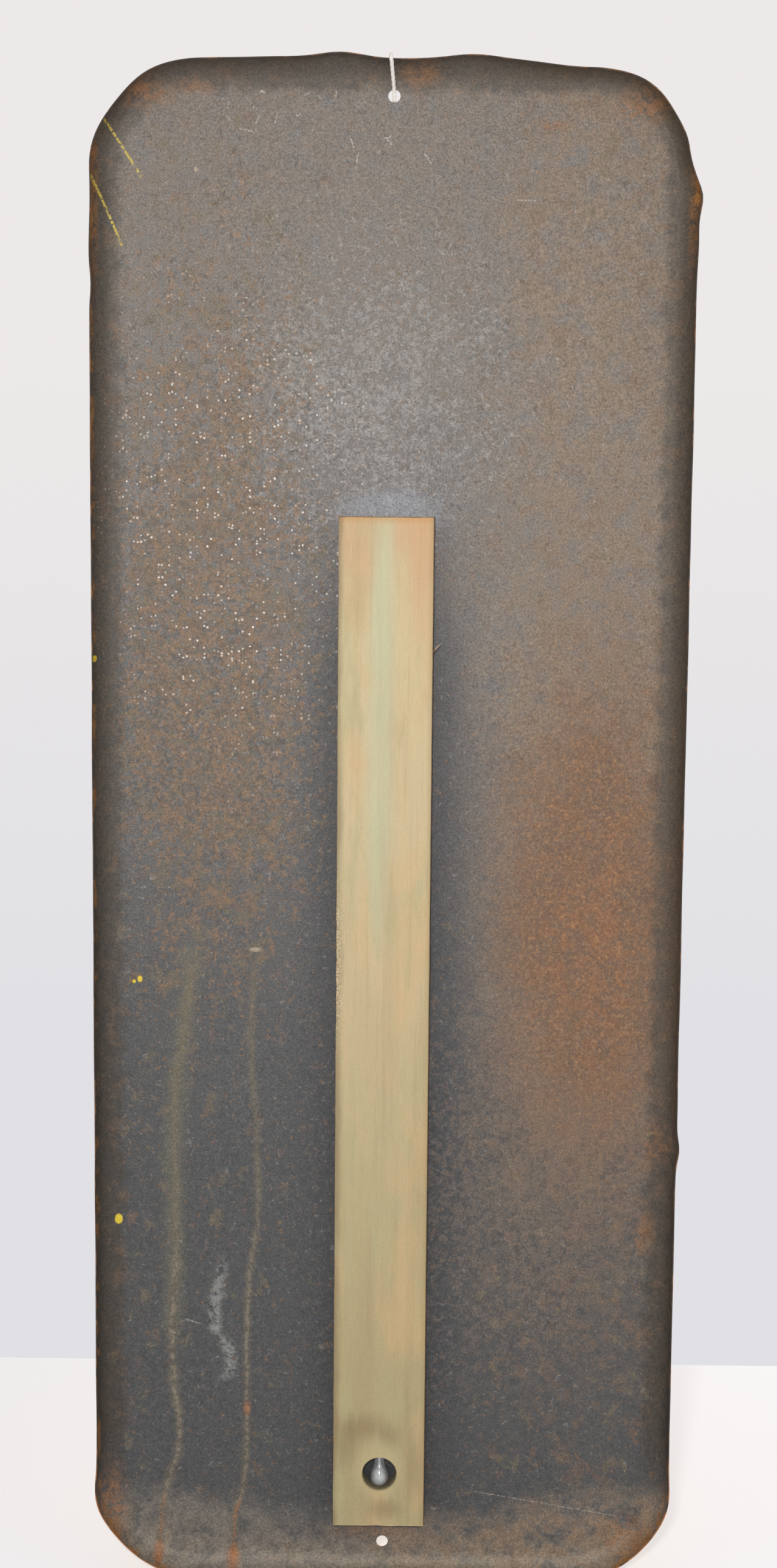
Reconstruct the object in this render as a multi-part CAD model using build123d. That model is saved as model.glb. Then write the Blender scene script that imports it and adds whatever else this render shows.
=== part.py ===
from build123d import *

import os
from math import cos, pi, radians, sin, tan

# Wall thermometer: a pressed steel panel that carries a glass mercury tube on a wooden strip.
#
# Frame, in millimetres: the wall plane is y = 0, the printed face looks along +Y and +Z is up.
# The origin is on the wall plane, at the middle of the panel.
#
# The panel is one sheet with its edge rolled back to the wall. A wooden strip fills the depth behind
# its middle and is nailed on from the front. The glass tube lies in a groove in the strip, under four
# wire staples, and shows through a long window in the sheet. Its bulb sits in a bore through the strip,
# so that the air reaches it from behind. Mercury fills the bulb and stands in the tube's fine bore.
# A cotton string is tied through the upper nail hole and over the rolled edge.

# Pressed panel
PANEL_WIDTH = 254.0
PANEL_HEIGHT = 660.4
PANEL_DEPTH = 10.0
SHEET = 0.5
CORNER_RADIUS = 45.0
RIM_LIP = 0.5  # straight edge of the rim, past its roll
NAIL_HOLE_RADIUS = 2.6
NAIL_HOLE_INSET = 13.7  # from the panel's top and bottom edges to the hole centres

# Wooden strip behind the panel
STRIP_WIDTH = 41.0
STRIP_LENGTH = 447.4
STRIP_X = -1.7  # the strip was nailed on a little off the panel's centre line
STRIP_BOTTOM_GAP = 24.8  # from the panel's bottom edge to the strip's lower end
BULB_BORE_RADIUS = 7.5
BULB_BORE_RISE = 24.2  # from the strip's lower end to the bore's centre

# Glass tube
TUBE_SHIFT = 0.3  # the tube's axis from the strip's centre line
STEM_RADIUS = 2.0
STEM_BORE_RADIUS = 0.6
BULB_RADIUS = 3.95
BULB_WALL = 0.7
SHOULDER_LENGTH = 8.2  # from the bulb's widest place up to the stem
TUBE_TOP_GAP = 16.0  # from the strip's upper end to the tube's closed tip
TIP_LENGTH = 4.0  # solid glass above the bore

# Window in the sheet in front of the tube
WINDOW_WIDTH = 8.0
WINDOW_BOTTOM_GAP = 11.5  # from the bulb bore's top to the window
WINDOW_TOP_COVER = 6.0  # how far the sheet covers the tube's tip

# Temperature scale, in degrees Fahrenheit
SCALE_LOW = -40
SCALE_HIGH = 120
REST_READING = 72
SCALE_RISE = 15.5  # from the window's lower end to the lowest mark
SCALE_DROP = 14.7  # from the window's upper end to the highest mark
TOP_LENGTH = 3.0  # of the thread's moving end
MENISCUS_RISE = 0.25  # of the thread's domed end above its side

# Staples over the tube
STAPLE_WIRE_RADIUS = 0.45
STAPLE_SPAN = 9.0  # between the leg centres
STAPLE_LEG = 5.2
STAPLE_BEND_RADIUS = 0.9
STAPLE_INSET = 12.0  # of the end staples from the window's ends
STAPLE_COUNT = 4

# Brads that hold the strip
BRAD_RADIUS = 0.7
BRAD_LENGTH = 8.0
BRAD_HEAD_RADIUS = 1.9
BRAD_HEAD_HEIGHT = 0.9
BRAD_SIDE_INSET = 8.0
BRAD_END_INSET = 8.0
BRAD_ROWS = 3

# String
STRING_RADIUS = 0.8
STRING_LIFT = 0.2  # between the string and the sheet
KNOT_WIDTH = 4.4
KNOT_HEIGHT = 4.6
KNOT_DROP = 15.5  # from the upper nail hole's centre to the knot's top
KNOT_X = -1.5
TAIL_LENGTH = 8.0
ARC_SHARE = 0.45  # of a run that the arc at its end may take

# Clearances
GROOVE_CLEARANCE = 0.3
BULB_CLEARANCE = 0.35  # between the bulb and the sheet in front of it
BULB_SEAT_GAP = 0.25  # between the bulb and the bottom of its bore
MERCURY_CLEARANCE = 0.05
DRIVEN_CLEARANCE = 0.02  # round a brad or staple leg in the wood
SHEET_HOLE_CLEARANCE = 0.05  # round a brad in the sheet
NOTCH_CLEARANCE = 0.2
STAPLE_CLEARANCE = 0.03  # between a staple and the tube

# Places and sizes that follow from the ones above
ROLL_RADIUS = PANEL_DEPTH - RIM_LIP
NAIL_Z = PANEL_HEIGHT / 2 - NAIL_HOLE_INSET
WOOD = PANEL_DEPTH - SHEET
STRIP_BOTTOM = STRIP_BOTTOM_GAP - PANEL_HEIGHT / 2
STRIP_TOP = STRIP_BOTTOM + STRIP_LENGTH
BORE_Z = STRIP_BOTTOM + BULB_BORE_RISE
TUBE_X = STRIP_X + TUBE_SHIFT
TUBE_Y = WOOD - BULB_CLEARANCE - BULB_RADIUS
BULB_BOTTOM = BORE_Z - BULB_BORE_RADIUS + BULB_SEAT_GAP
BULB_MIDDLE = BULB_BOTTOM + BULB_RADIUS
STEM_BOTTOM = BULB_MIDDLE + SHOULDER_LENGTH
TUBE_TOP = STRIP_TOP - TUBE_TOP_GAP
STEM_BORE_TOP = TUBE_TOP - TIP_LENGTH
WINDOW_BOTTOM = BORE_Z + BULB_BORE_RADIUS + WINDOW_BOTTOM_GAP
WINDOW_TOP = TUBE_TOP - WINDOW_TOP_COVER
SCALE_BOTTOM = WINDOW_BOTTOM + SCALE_RISE
DEGREE = (WINDOW_TOP - SCALE_DROP - SCALE_BOTTOM) / (SCALE_HIGH - SCALE_LOW)
REST_Z = SCALE_BOTTOM + (REST_READING - SCALE_LOW) * DEGREE
COLUMN_BOTTOM = STEM_BOTTOM + TOP_LENGTH


def upright(sketch, y):
    """The sketch, drawn in X and Z, on the plane at y. A positive extrude then runs towards the wall."""
    return Plane.XZ.offset(-y) * sketch


def rod(x, z, radius, y_from, y_to):
    """A round bar along Y."""
    return extrude(upright(Pos(x, z) * Circle(radius), y_to), amount=y_to - y_from)


def block(x, z, width, height, y_from, y_to):
    """A rectangular bar along Y, centred on x and z."""
    return extrude(upright(Pos(x, z) * Rectangle(width, height), y_to), amount=y_to - y_from)


def spread(low, high, count):
    """Evenly spaced heights from low to high."""
    return [low + (high - low) * step / (count - 1) for step in range(count)]


def brad_places():
    """The brads' places in X and Z: rows of two, from the strip's lower end up."""
    across = STRIP_WIDTH / 2 - BRAD_SIDE_INSET
    rows = spread(STRIP_BOTTOM + BRAD_END_INSET, STRIP_TOP - BRAD_END_INSET, BRAD_ROWS)
    return [(STRIP_X + side * across, z) for z in rows for side in (-1, 1)]


def staple_heights():
    return spread(WINDOW_BOTTOM + STAPLE_INSET, WINDOW_TOP - STAPLE_INSET, STAPLE_COUNT)


def dish(inset, y_open):
    """The panel's outer form made smaller by inset all round, from y_open to its face."""
    outline = RectangleRounded(
        PANEL_WIDTH - 2 * inset, PANEL_HEIGHT - 2 * inset, CORNER_RADIUS - inset
    )
    face_y = PANEL_DEPTH - inset
    form = extrude(upright(outline, face_y), amount=face_y - y_open)
    front = form.faces().sort_by(Axis.Y)[-1]
    return fillet(front.edges(), ROLL_RADIUS - inset)


def panel():
    """The sheet, with its edge rolled back to the wall plane and all its punched holes."""
    sheet = dish(0, 0) - dish(SHEET, -SHEET)
    for z in (NAIL_Z, -NAIL_Z):
        sheet -= rod(0, z, NAIL_HOLE_RADIUS, 0, PANEL_DEPTH)
    for x, z in brad_places():
        sheet -= rod(x, z, BRAD_RADIUS + SHEET_HOLE_CLEARANCE, 0, PANEL_DEPTH)
    window = SlotOverall(WINDOW_TOP - WINDOW_BOTTOM, WINDOW_WIDTH, rotation=90)
    place = Pos(TUBE_X, (WINDOW_TOP + WINDOW_BOTTOM) / 2)
    return sheet - extrude(upright(place * window, PANEL_DEPTH), amount=PANEL_DEPTH)


def staple_wire_y():
    """The Y of a staple's crown, which lies on the front of the stem."""
    return TUBE_Y + STEM_RADIUS + STAPLE_CLEARANCE + STAPLE_WIRE_RADIUS


def backing_strip():
    """The wooden strip, with the tube's groove, the bulb's bore, staple notches and driven holes."""
    middle = (STRIP_TOP + STRIP_BOTTOM) / 2
    wood = block(STRIP_X, middle, STRIP_WIDTH, STRIP_LENGTH, 0, WOOD)
    groove_floor = TUBE_Y - STEM_RADIUS - GROOVE_CLEARANCE
    groove_width = 2 * (STEM_RADIUS + GROOVE_CLEARANCE)
    groove_top = TUBE_TOP + GROOVE_CLEARANCE
    groove = block(
        TUBE_X, (groove_top + BORE_Z) / 2, groove_width, groove_top - BORE_Z, groove_floor, WOOD
    )
    wood -= groove
    wood -= rod(TUBE_X, BORE_Z, BULB_BORE_RADIUS, 0, WOOD)
    crown_y = staple_wire_y()
    leg = STAPLE_WIRE_RADIUS + DRIVEN_CLEARANCE
    notch_height = 2 * (STAPLE_WIRE_RADIUS + NOTCH_CLEARANCE)
    notch_width = STAPLE_SPAN + 2 * (STAPLE_WIRE_RADIUS + NOTCH_CLEARANCE)
    notch_floor = crown_y - STAPLE_BEND_RADIUS - NOTCH_CLEARANCE
    leg_end = crown_y - STAPLE_LEG - DRIVEN_CLEARANCE
    for z in staple_heights():
        wood -= block(TUBE_X, z, notch_width, notch_height, notch_floor, WOOD)
        for side in (-1, 1):
            x = TUBE_X + side * STAPLE_SPAN / 2
            wood -= rod(x, z, leg, leg_end, crown_y)
    pilot = BRAD_RADIUS + DRIVEN_CLEARANCE
    pilot_end = PANEL_DEPTH - BRAD_LENGTH - DRIVEN_CLEARANCE
    for x, z in brad_places():
        wood -= rod(x, z, pilot, pilot_end, WOOD)
    return wood


def turned(profile):
    """A profile in radius and height, turned about the tube's axis."""
    return Pos(TUBE_X, TUBE_Y) * revolve(Plane.XZ * profile, Axis.Z)


def bulb_outline(inset, neck_radius, neck_z):
    """The bulb's half outline, from its lowest point round to its neck."""
    radius = BULB_RADIUS - inset
    half_way = ((radius + neck_radius) / 2, (BULB_MIDDLE + neck_z) / 2)
    belly = ThreePointArc(
        (0, BULB_MIDDLE - radius),
        (radius * sin(pi / 4), BULB_MIDDLE - radius * cos(pi / 4)),
        (radius, BULB_MIDDLE),
    )
    shoulder = TangentArc((radius, BULB_MIDDLE), half_way, tangent=(0, 1))
    neck = TangentArc(half_way, (neck_radius, neck_z), tangent=shoulder % 1)
    return [belly, shoulder, neck]


def glass_tube():
    """Stem and bulb in one piece of glass, with the bulb's cavity and the fine bore above it."""
    tip = TUBE_TOP - STEM_RADIUS
    outside = bulb_outline(0, STEM_RADIUS, STEM_BOTTOM) + [
        Line((STEM_RADIUS, STEM_BOTTOM), (STEM_RADIUS, tip)),
        ThreePointArc(
            (STEM_RADIUS, tip),
            (STEM_RADIUS * cos(pi / 4), tip + STEM_RADIUS * sin(pi / 4)),
            (0, TUBE_TOP),
        ),
        Line((0, TUBE_TOP), (0, BULB_BOTTOM)),
    ]
    inside = bulb_outline(BULB_WALL, STEM_BORE_RADIUS, STEM_BOTTOM) + [
        Line((STEM_BORE_RADIUS, STEM_BOTTOM), (STEM_BORE_RADIUS, STEM_BORE_TOP)),
        Line((STEM_BORE_RADIUS, STEM_BORE_TOP), (0, STEM_BORE_TOP)),
        Line((0, STEM_BORE_TOP), (0, BULB_BOTTOM + BULB_WALL)),
    ]
    return turned(make_face(outside)) - turned(make_face(inside))


def thread_radius():
    return STEM_BORE_RADIUS - MERCURY_CLEARANCE


def bulb_mercury():
    """The mercury that fills the bulb, up to where the thread starts."""
    inset = BULB_WALL + MERCURY_CLEARANCE
    outline = bulb_outline(inset, thread_radius(), STEM_BOTTOM) + [
        Line((thread_radius(), STEM_BOTTOM), (thread_radius(), COLUMN_BOTTOM)),
        Line((thread_radius(), COLUMN_BOTTOM), (0, COLUMN_BOTTOM)),
        Line((0, COLUMN_BOTTOM), (0, BULB_BOTTOM + inset)),
    ]
    return turned(make_face(outline))


def thread(z_from, z_to):
    place = Pos(TUBE_X, TUBE_Y, z_from)
    return place * Cylinder(
        thread_radius(), z_to - z_from, align=(Align.CENTER, Align.CENTER, Align.MIN)
    )


def mercury_column():
    """The thread of mercury below its top, which grows and shrinks with the temperature."""
    return thread(COLUMN_BOTTOM, REST_Z - TOP_LENGTH)


def mercury_top():
    """The end of the thread, with its domed meniscus, at the rest reading."""
    radius = thread_radius()
    ball_radius = (radius**2 + MENISCUS_RISE**2) / (2 * MENISCUS_RISE)
    dome = Pos(TUBE_X, TUBE_Y, REST_Z - ball_radius) * Sphere(ball_radius)
    cap = thread(REST_Z - MENISCUS_RISE, REST_Z) & dome
    return thread(REST_Z - TOP_LENGTH, REST_Z - MENISCUS_RISE) + cap


def staple(z):
    """A wire staple with its crown over the stem and its legs in the wood."""
    y = staple_wire_y()
    half = STAPLE_SPAN / 2
    path = FilletPolyline(
        (TUBE_X - half, y - STAPLE_LEG, z),
        (TUBE_X - half, y, z),
        (TUBE_X + half, y, z),
        (TUBE_X + half, y - STAPLE_LEG, z),
        radius=STAPLE_BEND_RADIUS,
    )
    section = Plane(origin=path @ 0, z_dir=path % 0) * Circle(STAPLE_WIRE_RADIUS)
    return sweep(section, path=path)


def brad(x, z):
    """A round-headed brad, driven from the front through the sheet into the strip."""
    shank = rod(x, z, BRAD_RADIUS, PANEL_DEPTH - BRAD_LENGTH, PANEL_DEPTH)
    ball = (BRAD_HEAD_RADIUS**2 + BRAD_HEAD_HEIGHT**2) / (2 * BRAD_HEAD_HEIGHT)
    dome = Pos(x, PANEL_DEPTH + BRAD_HEAD_HEIGHT - ball, z) * Sphere(ball)
    head = dome & rod(x, z, BRAD_HEAD_RADIUS, PANEL_DEPTH, PANEL_DEPTH + BRAD_HEAD_HEIGHT)
    return shank + head


def knot_middle():
    """The knot's middle: below the nail hole, against the printed face."""
    y = PANEL_DEPTH + STRING_LIFT + KNOT_WIDTH / 2
    return KNOT_X, y, NAIL_Z - KNOT_DROP - KNOT_HEIGHT / 2


def string_route():
    """The string's corner points, from the knot up through the nail hole, over the rim and back."""
    off = STRING_RADIUS + STRING_LIFT  # from the sheet's surface to the string's centre
    face = PANEL_DEPTH + off
    over = PANEL_HEIGHT / 2 + off
    eighth = (ROLL_RADIUS + off) * tan(radians(22.5))
    x, knot_y, knot_z = knot_middle()
    knot_top = knot_z + KNOT_HEIGHT / 2
    beside = STRING_RADIUS + STRING_LIFT / 2
    return [
        (x + beside, knot_y, knot_top),
        (x + beside, knot_y, knot_top + 4.0),
        (0.3, face + 0.3, NAIL_Z - 1.3),
        (-1.3, -1.6, over - 1.35),
        (-1.45, -0.7, over + 0.7),
        (-1.7, RIM_LIP + eighth + 0.4, over + 0.1),
        (-2.4, face + 0.1, over - off - ROLL_RADIUS + eighth + 0.4),
        (-3.9, face, NAIL_Z - 2.0),
        (x - beside, knot_y, knot_top + 4.5),
        (x - beside, knot_y, knot_top),
    ]


def corner_radii(points):
    """The widest arc for each corner: 0.45 of its shorter run, over the tangent of half its turn."""
    places = [Vector(p) for p in points]
    radii = []
    for before, at, after in zip(places, places[1:], places[2:]):
        turn = (at - before).get_angle(after - at)
        shorter = min((at - before).length, (after - at).length)
        radii.append(ARC_SHARE * shorter / tan(radians(turn / 2)))
    return radii


def hanging_string():
    """One soft string: up from the knot, through the nail hole, over the rim and down to the knot."""
    points = string_route()
    radii = corner_radii(points)
    print("string radii", [round(r, 2) for r in radii])
    path = FilletPolyline(*points, radius=radii)
    section = Plane(origin=path @ 0, z_dir=path % 0) * Circle(STRING_RADIUS)
    string = sweep(section, path=path)
    should_be = pi * STRING_RADIUS**2 * path.length
    print("string length", round(path.length, 1))
    print("string volume", round(string.volume, 1), "of", round(should_be, 1))
    return string


def string_knot():
    """The knot that closes the loop, as a plain round bead."""
    bead = Cylinder(KNOT_WIDTH / 2, KNOT_HEIGHT)
    return Pos(*knot_middle()) * fillet(bead.edges(), KNOT_WIDTH / 10)


def string_tails():
    """The two loose ends below the knot."""
    x, y, z = knot_middle()
    beside = STRING_RADIUS + STRING_LIFT / 2
    tail = Cylinder(STRING_RADIUS, TAIL_LENGTH, align=(Align.CENTER, Align.CENTER, Align.MAX))
    return [Pos(x + side * beside, y, z - KNOT_HEIGHT / 2) * tail for side in (-1, 1)]


def build():
    """Every piece, by the name of its node."""
    pieces = {
        "panel": panel(),
        "backing_strip": backing_strip(),
        "glass_tube": glass_tube(),
        "bulb_mercury": bulb_mercury(),
        "mercury_column": mercury_column(),
        "mercury_top": mercury_top(),
        "hanging_string": hanging_string(),
        "string_knot": string_knot(),
        "string_tails": Compound(string_tails()),
    }
    for number, z in enumerate(staple_heights(), start=1):
        pieces[f"tube_staple_{number}"] = staple(z)
    for number, (x, z) in enumerate(brad_places(), start=1):
        pieces[f"strip_brad_{number}"] = brad(x, z)
    return pieces


def main():
    os.makedirs("parts", exist_ok=True)
    for name, piece in build().items():
        export_step(piece, f"parts/{name}.step")


main()
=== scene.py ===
"""Looks of the wall thermometer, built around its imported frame.

Shapes are worked out in millimetres and written to Blender in metres. X runs across the panel, Z up,
and Y from the wall towards the printed face.
"""
from math import ceil, cos, exp, hypot, pi, radians, sin, tan

import bmesh
import bpy
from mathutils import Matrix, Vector
from mathutils.geometry import delaunay_2d_cdt
from mathutils.noise import noise


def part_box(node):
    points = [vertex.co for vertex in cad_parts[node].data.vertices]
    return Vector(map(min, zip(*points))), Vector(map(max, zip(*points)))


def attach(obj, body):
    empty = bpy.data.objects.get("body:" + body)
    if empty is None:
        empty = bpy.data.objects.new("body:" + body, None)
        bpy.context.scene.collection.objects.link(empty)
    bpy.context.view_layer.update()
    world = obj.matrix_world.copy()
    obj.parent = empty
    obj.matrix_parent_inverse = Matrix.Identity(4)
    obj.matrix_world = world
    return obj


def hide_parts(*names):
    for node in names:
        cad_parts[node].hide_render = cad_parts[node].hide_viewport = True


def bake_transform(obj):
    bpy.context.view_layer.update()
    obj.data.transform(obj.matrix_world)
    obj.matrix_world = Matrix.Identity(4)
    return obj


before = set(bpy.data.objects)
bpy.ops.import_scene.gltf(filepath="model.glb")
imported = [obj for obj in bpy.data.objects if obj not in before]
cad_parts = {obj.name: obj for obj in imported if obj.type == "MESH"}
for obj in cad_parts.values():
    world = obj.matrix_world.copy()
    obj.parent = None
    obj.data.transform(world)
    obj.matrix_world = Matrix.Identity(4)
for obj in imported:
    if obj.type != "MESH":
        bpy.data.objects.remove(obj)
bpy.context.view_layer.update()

MM = 0.001
FIXED = "thermometer"


# Sizes

def mm_box(node):
    """A CAD node's lowest and highest corner, in millimetres."""
    low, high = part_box(node)
    return Vector(low) / MM, Vector(high) / MM


panel_low, panel_high = mm_box("panel")
strip_low, strip_high = mm_box("backing_strip")
tube_low, tube_high = mm_box("glass_tube")
knot_low, knot_high = mm_box("string_knot")
column_low, column_high = mm_box("mercury_column")

HALF_WIDTH = (panel_high.x - panel_low.x) / 2
HALF_HEIGHT = (panel_high.z - panel_low.z) / 2
DEPTH = panel_high.y
SHEET = 0.5
CORNER = 45.0
LIP = 0.5
ROLL = DEPTH - LIP
NAIL_RADIUS = 2.6
NAIL_Z = HALF_HEIGHT - 13.7
TUBE_X = (tube_low.x + tube_high.x) / 2
TUBE_Y = (tube_low.y + tube_high.y) / 2
STEM_RADIUS = 2.0
BORE_Z = strip_low.z + 24.2
BORE_RADIUS = 7.5
WINDOW_WIDTH = 8.0
WINDOW_BOTTOM = BORE_Z + BORE_RADIUS + 11.5
WINDOW_TOP = tube_high.z - 6.0
SCALE_BOTTOM = WINDOW_BOTTOM + 15.5
SCALE_TOP = WINDOW_TOP - 14.7
SCALE_LOW = -40
SCALE_HIGH = 120
DEGREE = (SCALE_TOP - SCALE_BOTTOM) / (SCALE_HIGH - SCALE_LOW)


# Camera: the wall side, seen from a little above, upright picture

CAMERA_PLACE = Vector((7.5, -1035.3, 158.1)) * MM
CAMERA_TILT = (82.842, -0.491, 0.473)  # degrees about X, Y and Z
CAMERA_LENS = 55.9

camera_data = bpy.data.cameras.new("camera")
camera_data.lens = CAMERA_LENS
camera_data.clip_start = 0.01
camera = bpy.data.objects.new("camera", camera_data)
camera.location = CAMERA_PLACE
camera.rotation_euler = [radians(turn) for turn in CAMERA_TILT]
bpy.context.collection.objects.link(camera)
bpy.context.scene.camera = camera


# Small helpers

def clamp(value, low=0.0, high=1.0):
    return max(low, min(high, value))


def ease(value, low, high):
    """0 below low, 1 above high, smooth between."""
    t = clamp((value - low) / (high - low))
    return t * t * (3 - 2 * t)


def srgb(red, green, blue):
    """A colour given as 0 to 255 on a screen, as linear light."""
    def linear(value):
        value /= 255
        return value / 12.92 if value <= 0.04045 else ((value + 0.055) / 1.055) ** 2.4
    return (linear(red), linear(green), linear(blue), 1.0)


def mesh_object(name, points, faces, material=None, smooth=True, sharp=40):
    """A mesh object from points in millimetres."""
    mesh = bpy.data.meshes.new(name)
    mesh.from_pydata([Vector(p) * MM for p in points], [], faces)
    mesh.validate()
    if smooth:
        mesh.shade_smooth()
        mesh.set_sharp_from_angle(angle=radians(sharp))
    piece = bpy.data.objects.new(name, mesh)
    bpy.context.collection.objects.link(piece)
    if material:
        mesh.materials.append(material)
    return piece


def ring_tube(centres, radius_at, turn_at=None, sides=12, lobes=0, lobe_depth=0.0):
    """Points and faces of a closed tube along centres, in the centres' own unit."""
    count = len(centres)
    tangents = []
    for i in range(count):
        before = centres[max(i - 1, 0)]
        after = centres[min(i + 1, count - 1)]
        tangents.append((after - before).normalized())
    side = tangents[0].orthogonal().normalized()
    points = []
    faces = []
    for i, centre in enumerate(centres):
        side = (side - tangents[i] * side.dot(tangents[i])).normalized()
        up = tangents[i].cross(side)
        turn = turn_at(i) if turn_at else 0.0
        for k in range(sides):
            angle = 2 * pi * k / sides
            radius = radius_at(i) * (1 - lobe_depth * (1 - cos(lobes * angle)) / 2)
            points.append(centre + (side * cos(angle + turn) + up * sin(angle + turn)) * radius)
    for i in range(count - 1):
        for k in range(sides):
            a = i * sides + k
            b = i * sides + (k + 1) % sides
            faces.append((a, b, b + sides, a + sides))
    faces.append(tuple(reversed(range(sides))))
    faces.append(tuple(range((count - 1) * sides, count * sides)))
    return points, faces


# Shader graphs

class Graph:
    """A material's node tree, built from short calls. A value is a number, a colour or a socket."""

    def __init__(self, name):
        self.material = bpy.data.materials.new(name)
        self.material.use_nodes = True
        self.tree = self.material.node_tree
        self.tree.nodes.clear()
        self.shader = self.tree.nodes.new("ShaderNodeBsdfPrincipled")
        output = self.tree.nodes.new("ShaderNodeOutputMaterial")
        self.tree.links.new(self.shader.outputs["BSDF"], output.inputs["Surface"])
        coordinates = self.tree.nodes.new("ShaderNodeTexCoord")
        self.place = self.vector("SCALE", coordinates.outputs["Object"], scale=1 / MM)
        split = self.add("ShaderNodeSeparateXYZ", Vector=self.place)
        self.x, self.y, self.z = split.outputs

    def put(self, socket, value):
        if isinstance(value, bpy.types.NodeSocket):
            self.tree.links.new(value, socket)
        elif isinstance(value, (int, float)) and hasattr(socket.default_value, "__len__"):
            socket.default_value = [value] * len(socket.default_value)
        else:
            socket.default_value = value

    def add(self, kind, **inputs):
        node = self.tree.nodes.new(kind)
        for name, value in inputs.items():
            self.put(node.inputs[name.replace("_", " ")], value)
        return node

    def math(self, operation, *values):
        node = self.tree.nodes.new("ShaderNodeMath")
        node.operation = operation
        for socket, value in zip(node.inputs, values):
            self.put(socket, value)
        return node.outputs[0]

    def plus(self, first, second):
        return self.math("ADD", first, second)

    def minus(self, first, second):
        return self.math("SUBTRACT", first, second)

    def most(self, first, second):
        return self.math("MAXIMUM", first, second)

    def line(self, value, slope, base):
        """value times slope, plus base."""
        return self.math("MULTIPLY_ADD", value, slope, base)

    def vector(self, operation, *values, scale=None):
        node = self.tree.nodes.new("ShaderNodeVectorMath")
        node.operation = operation
        for socket, value in zip(node.inputs, values):
            self.put(socket, value)
        if scale is not None:
            self.put(node.inputs["Scale"], scale)
        plain = operation in ("LENGTH", "DOT_PRODUCT", "DISTANCE")
        return node.outputs["Value" if plain else "Vector"]

    def ease(self, value, low, high):
        """0 at low, 1 at high, smooth between. low may be the larger one."""
        node = self.tree.nodes.new("ShaderNodeMapRange")
        node.interpolation_type = "SMOOTHSTEP"
        for name, number in (("Value", value), ("From Min", low), ("From Max", high)):
            self.put(node.inputs[name], number)
        if isinstance(low, (int, float)) and isinstance(high, (int, float)) and low > high:
            node.inputs["From Min"].default_value = high
            node.inputs["From Max"].default_value = low
            node.inputs["To Min"].default_value = 1.0
            node.inputs["To Max"].default_value = 0.0
        return node.outputs[0]

    def noise(self, size, detail=4.0, stretch=(1, 1, 1), rough=0.55, seed=0.0, warp=0.0):
        """Even noise from 0 to 1 whose lumps are about size millimetres."""
        scaled = [1 / (size * part) for part in stretch]
        place = self.vector("MULTIPLY", self.place, scaled)
        place = self.vector("ADD", place, (seed, 1.7 * seed, 2.3 * seed))
        node = self.add("ShaderNodeTexNoise", Vector=place, Scale=1.0, Detail=detail, Roughness=rough,
                        Distortion=warp)
        return node.outputs[0]

    def cells(self, size, seed=0.0, stretch=(1, 1, 1)):
        """Distance from the middle of cells of about size millimetres, and each cell's own colour."""
        place = self.vector("MULTIPLY", self.place, [1 / (size * part) for part in stretch])
        place = self.vector("ADD", place, (seed, 1.3 * seed, 0.7 * seed))
        node = self.add("ShaderNodeTexVoronoi", Vector=place, Scale=1.0)
        return node.outputs["Distance"], node.outputs["Color"]

    def mix(self, share, first, second, blend="MIX"):
        node = self.tree.nodes.new("ShaderNodeMix")
        node.data_type = "RGBA"
        node.blend_type = blend
        node.clamp_factor = True
        self.put(node.inputs[0], share)
        self.put(node.inputs[6], first)
        self.put(node.inputs[7], second)
        return node.outputs[2]

    def over(self, colour, share, strength, *screen):
        """The colour with another one, 0 to 255, laid over it where share is 1."""
        return self.mix(self.times(share, strength), colour, srgb(*screen))

    def about(self, field, spread):
        """A 0 to 1 field as an offset, spread from end to end and 0 in the middle."""
        return self.math("MULTIPLY", self.minus(field, 0.5), spread)

    def length(self, first, second):
        squares = [self.math("POWER", value, 2.0) for value in (first, second)]
        return self.math("SQRT", self.math("ADD", *squares))

    def grain(self, colour, share, field, dark, light):
        """The colour with a field laid over it as fine light and dark grain."""
        return self.mix(share, colour, self.mix(field, srgb(*dark), srgb(*light)), "OVERLAY")

    def blob(self, x, z, wide, high, soft=0.6, edge=None):
        """1 inside a soft oval round x and z, 0 outside. edge is a 0 to 1 socket that breaks its edge."""
        across = self.math("DIVIDE", self.minus(self.x, x), wide)
        along = self.math("DIVIDE", self.minus(self.z, z), high)
        far = self.length(across, along)
        if edge is not None:
            far = self.plus(far, self.about(edge, 1.6 * soft))
        return self.ease(far, 1 + soft, 1 - soft)

    def stroke(self, start, end, width, soft=0.4):
        """1 along a straight line from start to end, each (x, z)."""
        begin = Vector((start[0], 0, start[1]))
        run = Vector((end[0], 0, end[1])) - begin
        flat = self.vector("MULTIPLY", self.place, (1, 0, 1))
        away = self.vector("SUBTRACT", flat, begin)
        share = self.math("DIVIDE", self.vector("DOT_PRODUCT", away, run), run.length_squared)
        clamped = self.math("MINIMUM", self.most(share, 0.0), 1.0)
        foot = self.vector("SCALE", run, scale=clamped)
        far = self.vector("DISTANCE", away, foot)
        return self.ease(far, width * (0.5 + soft), width * (0.5 - soft))

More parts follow.
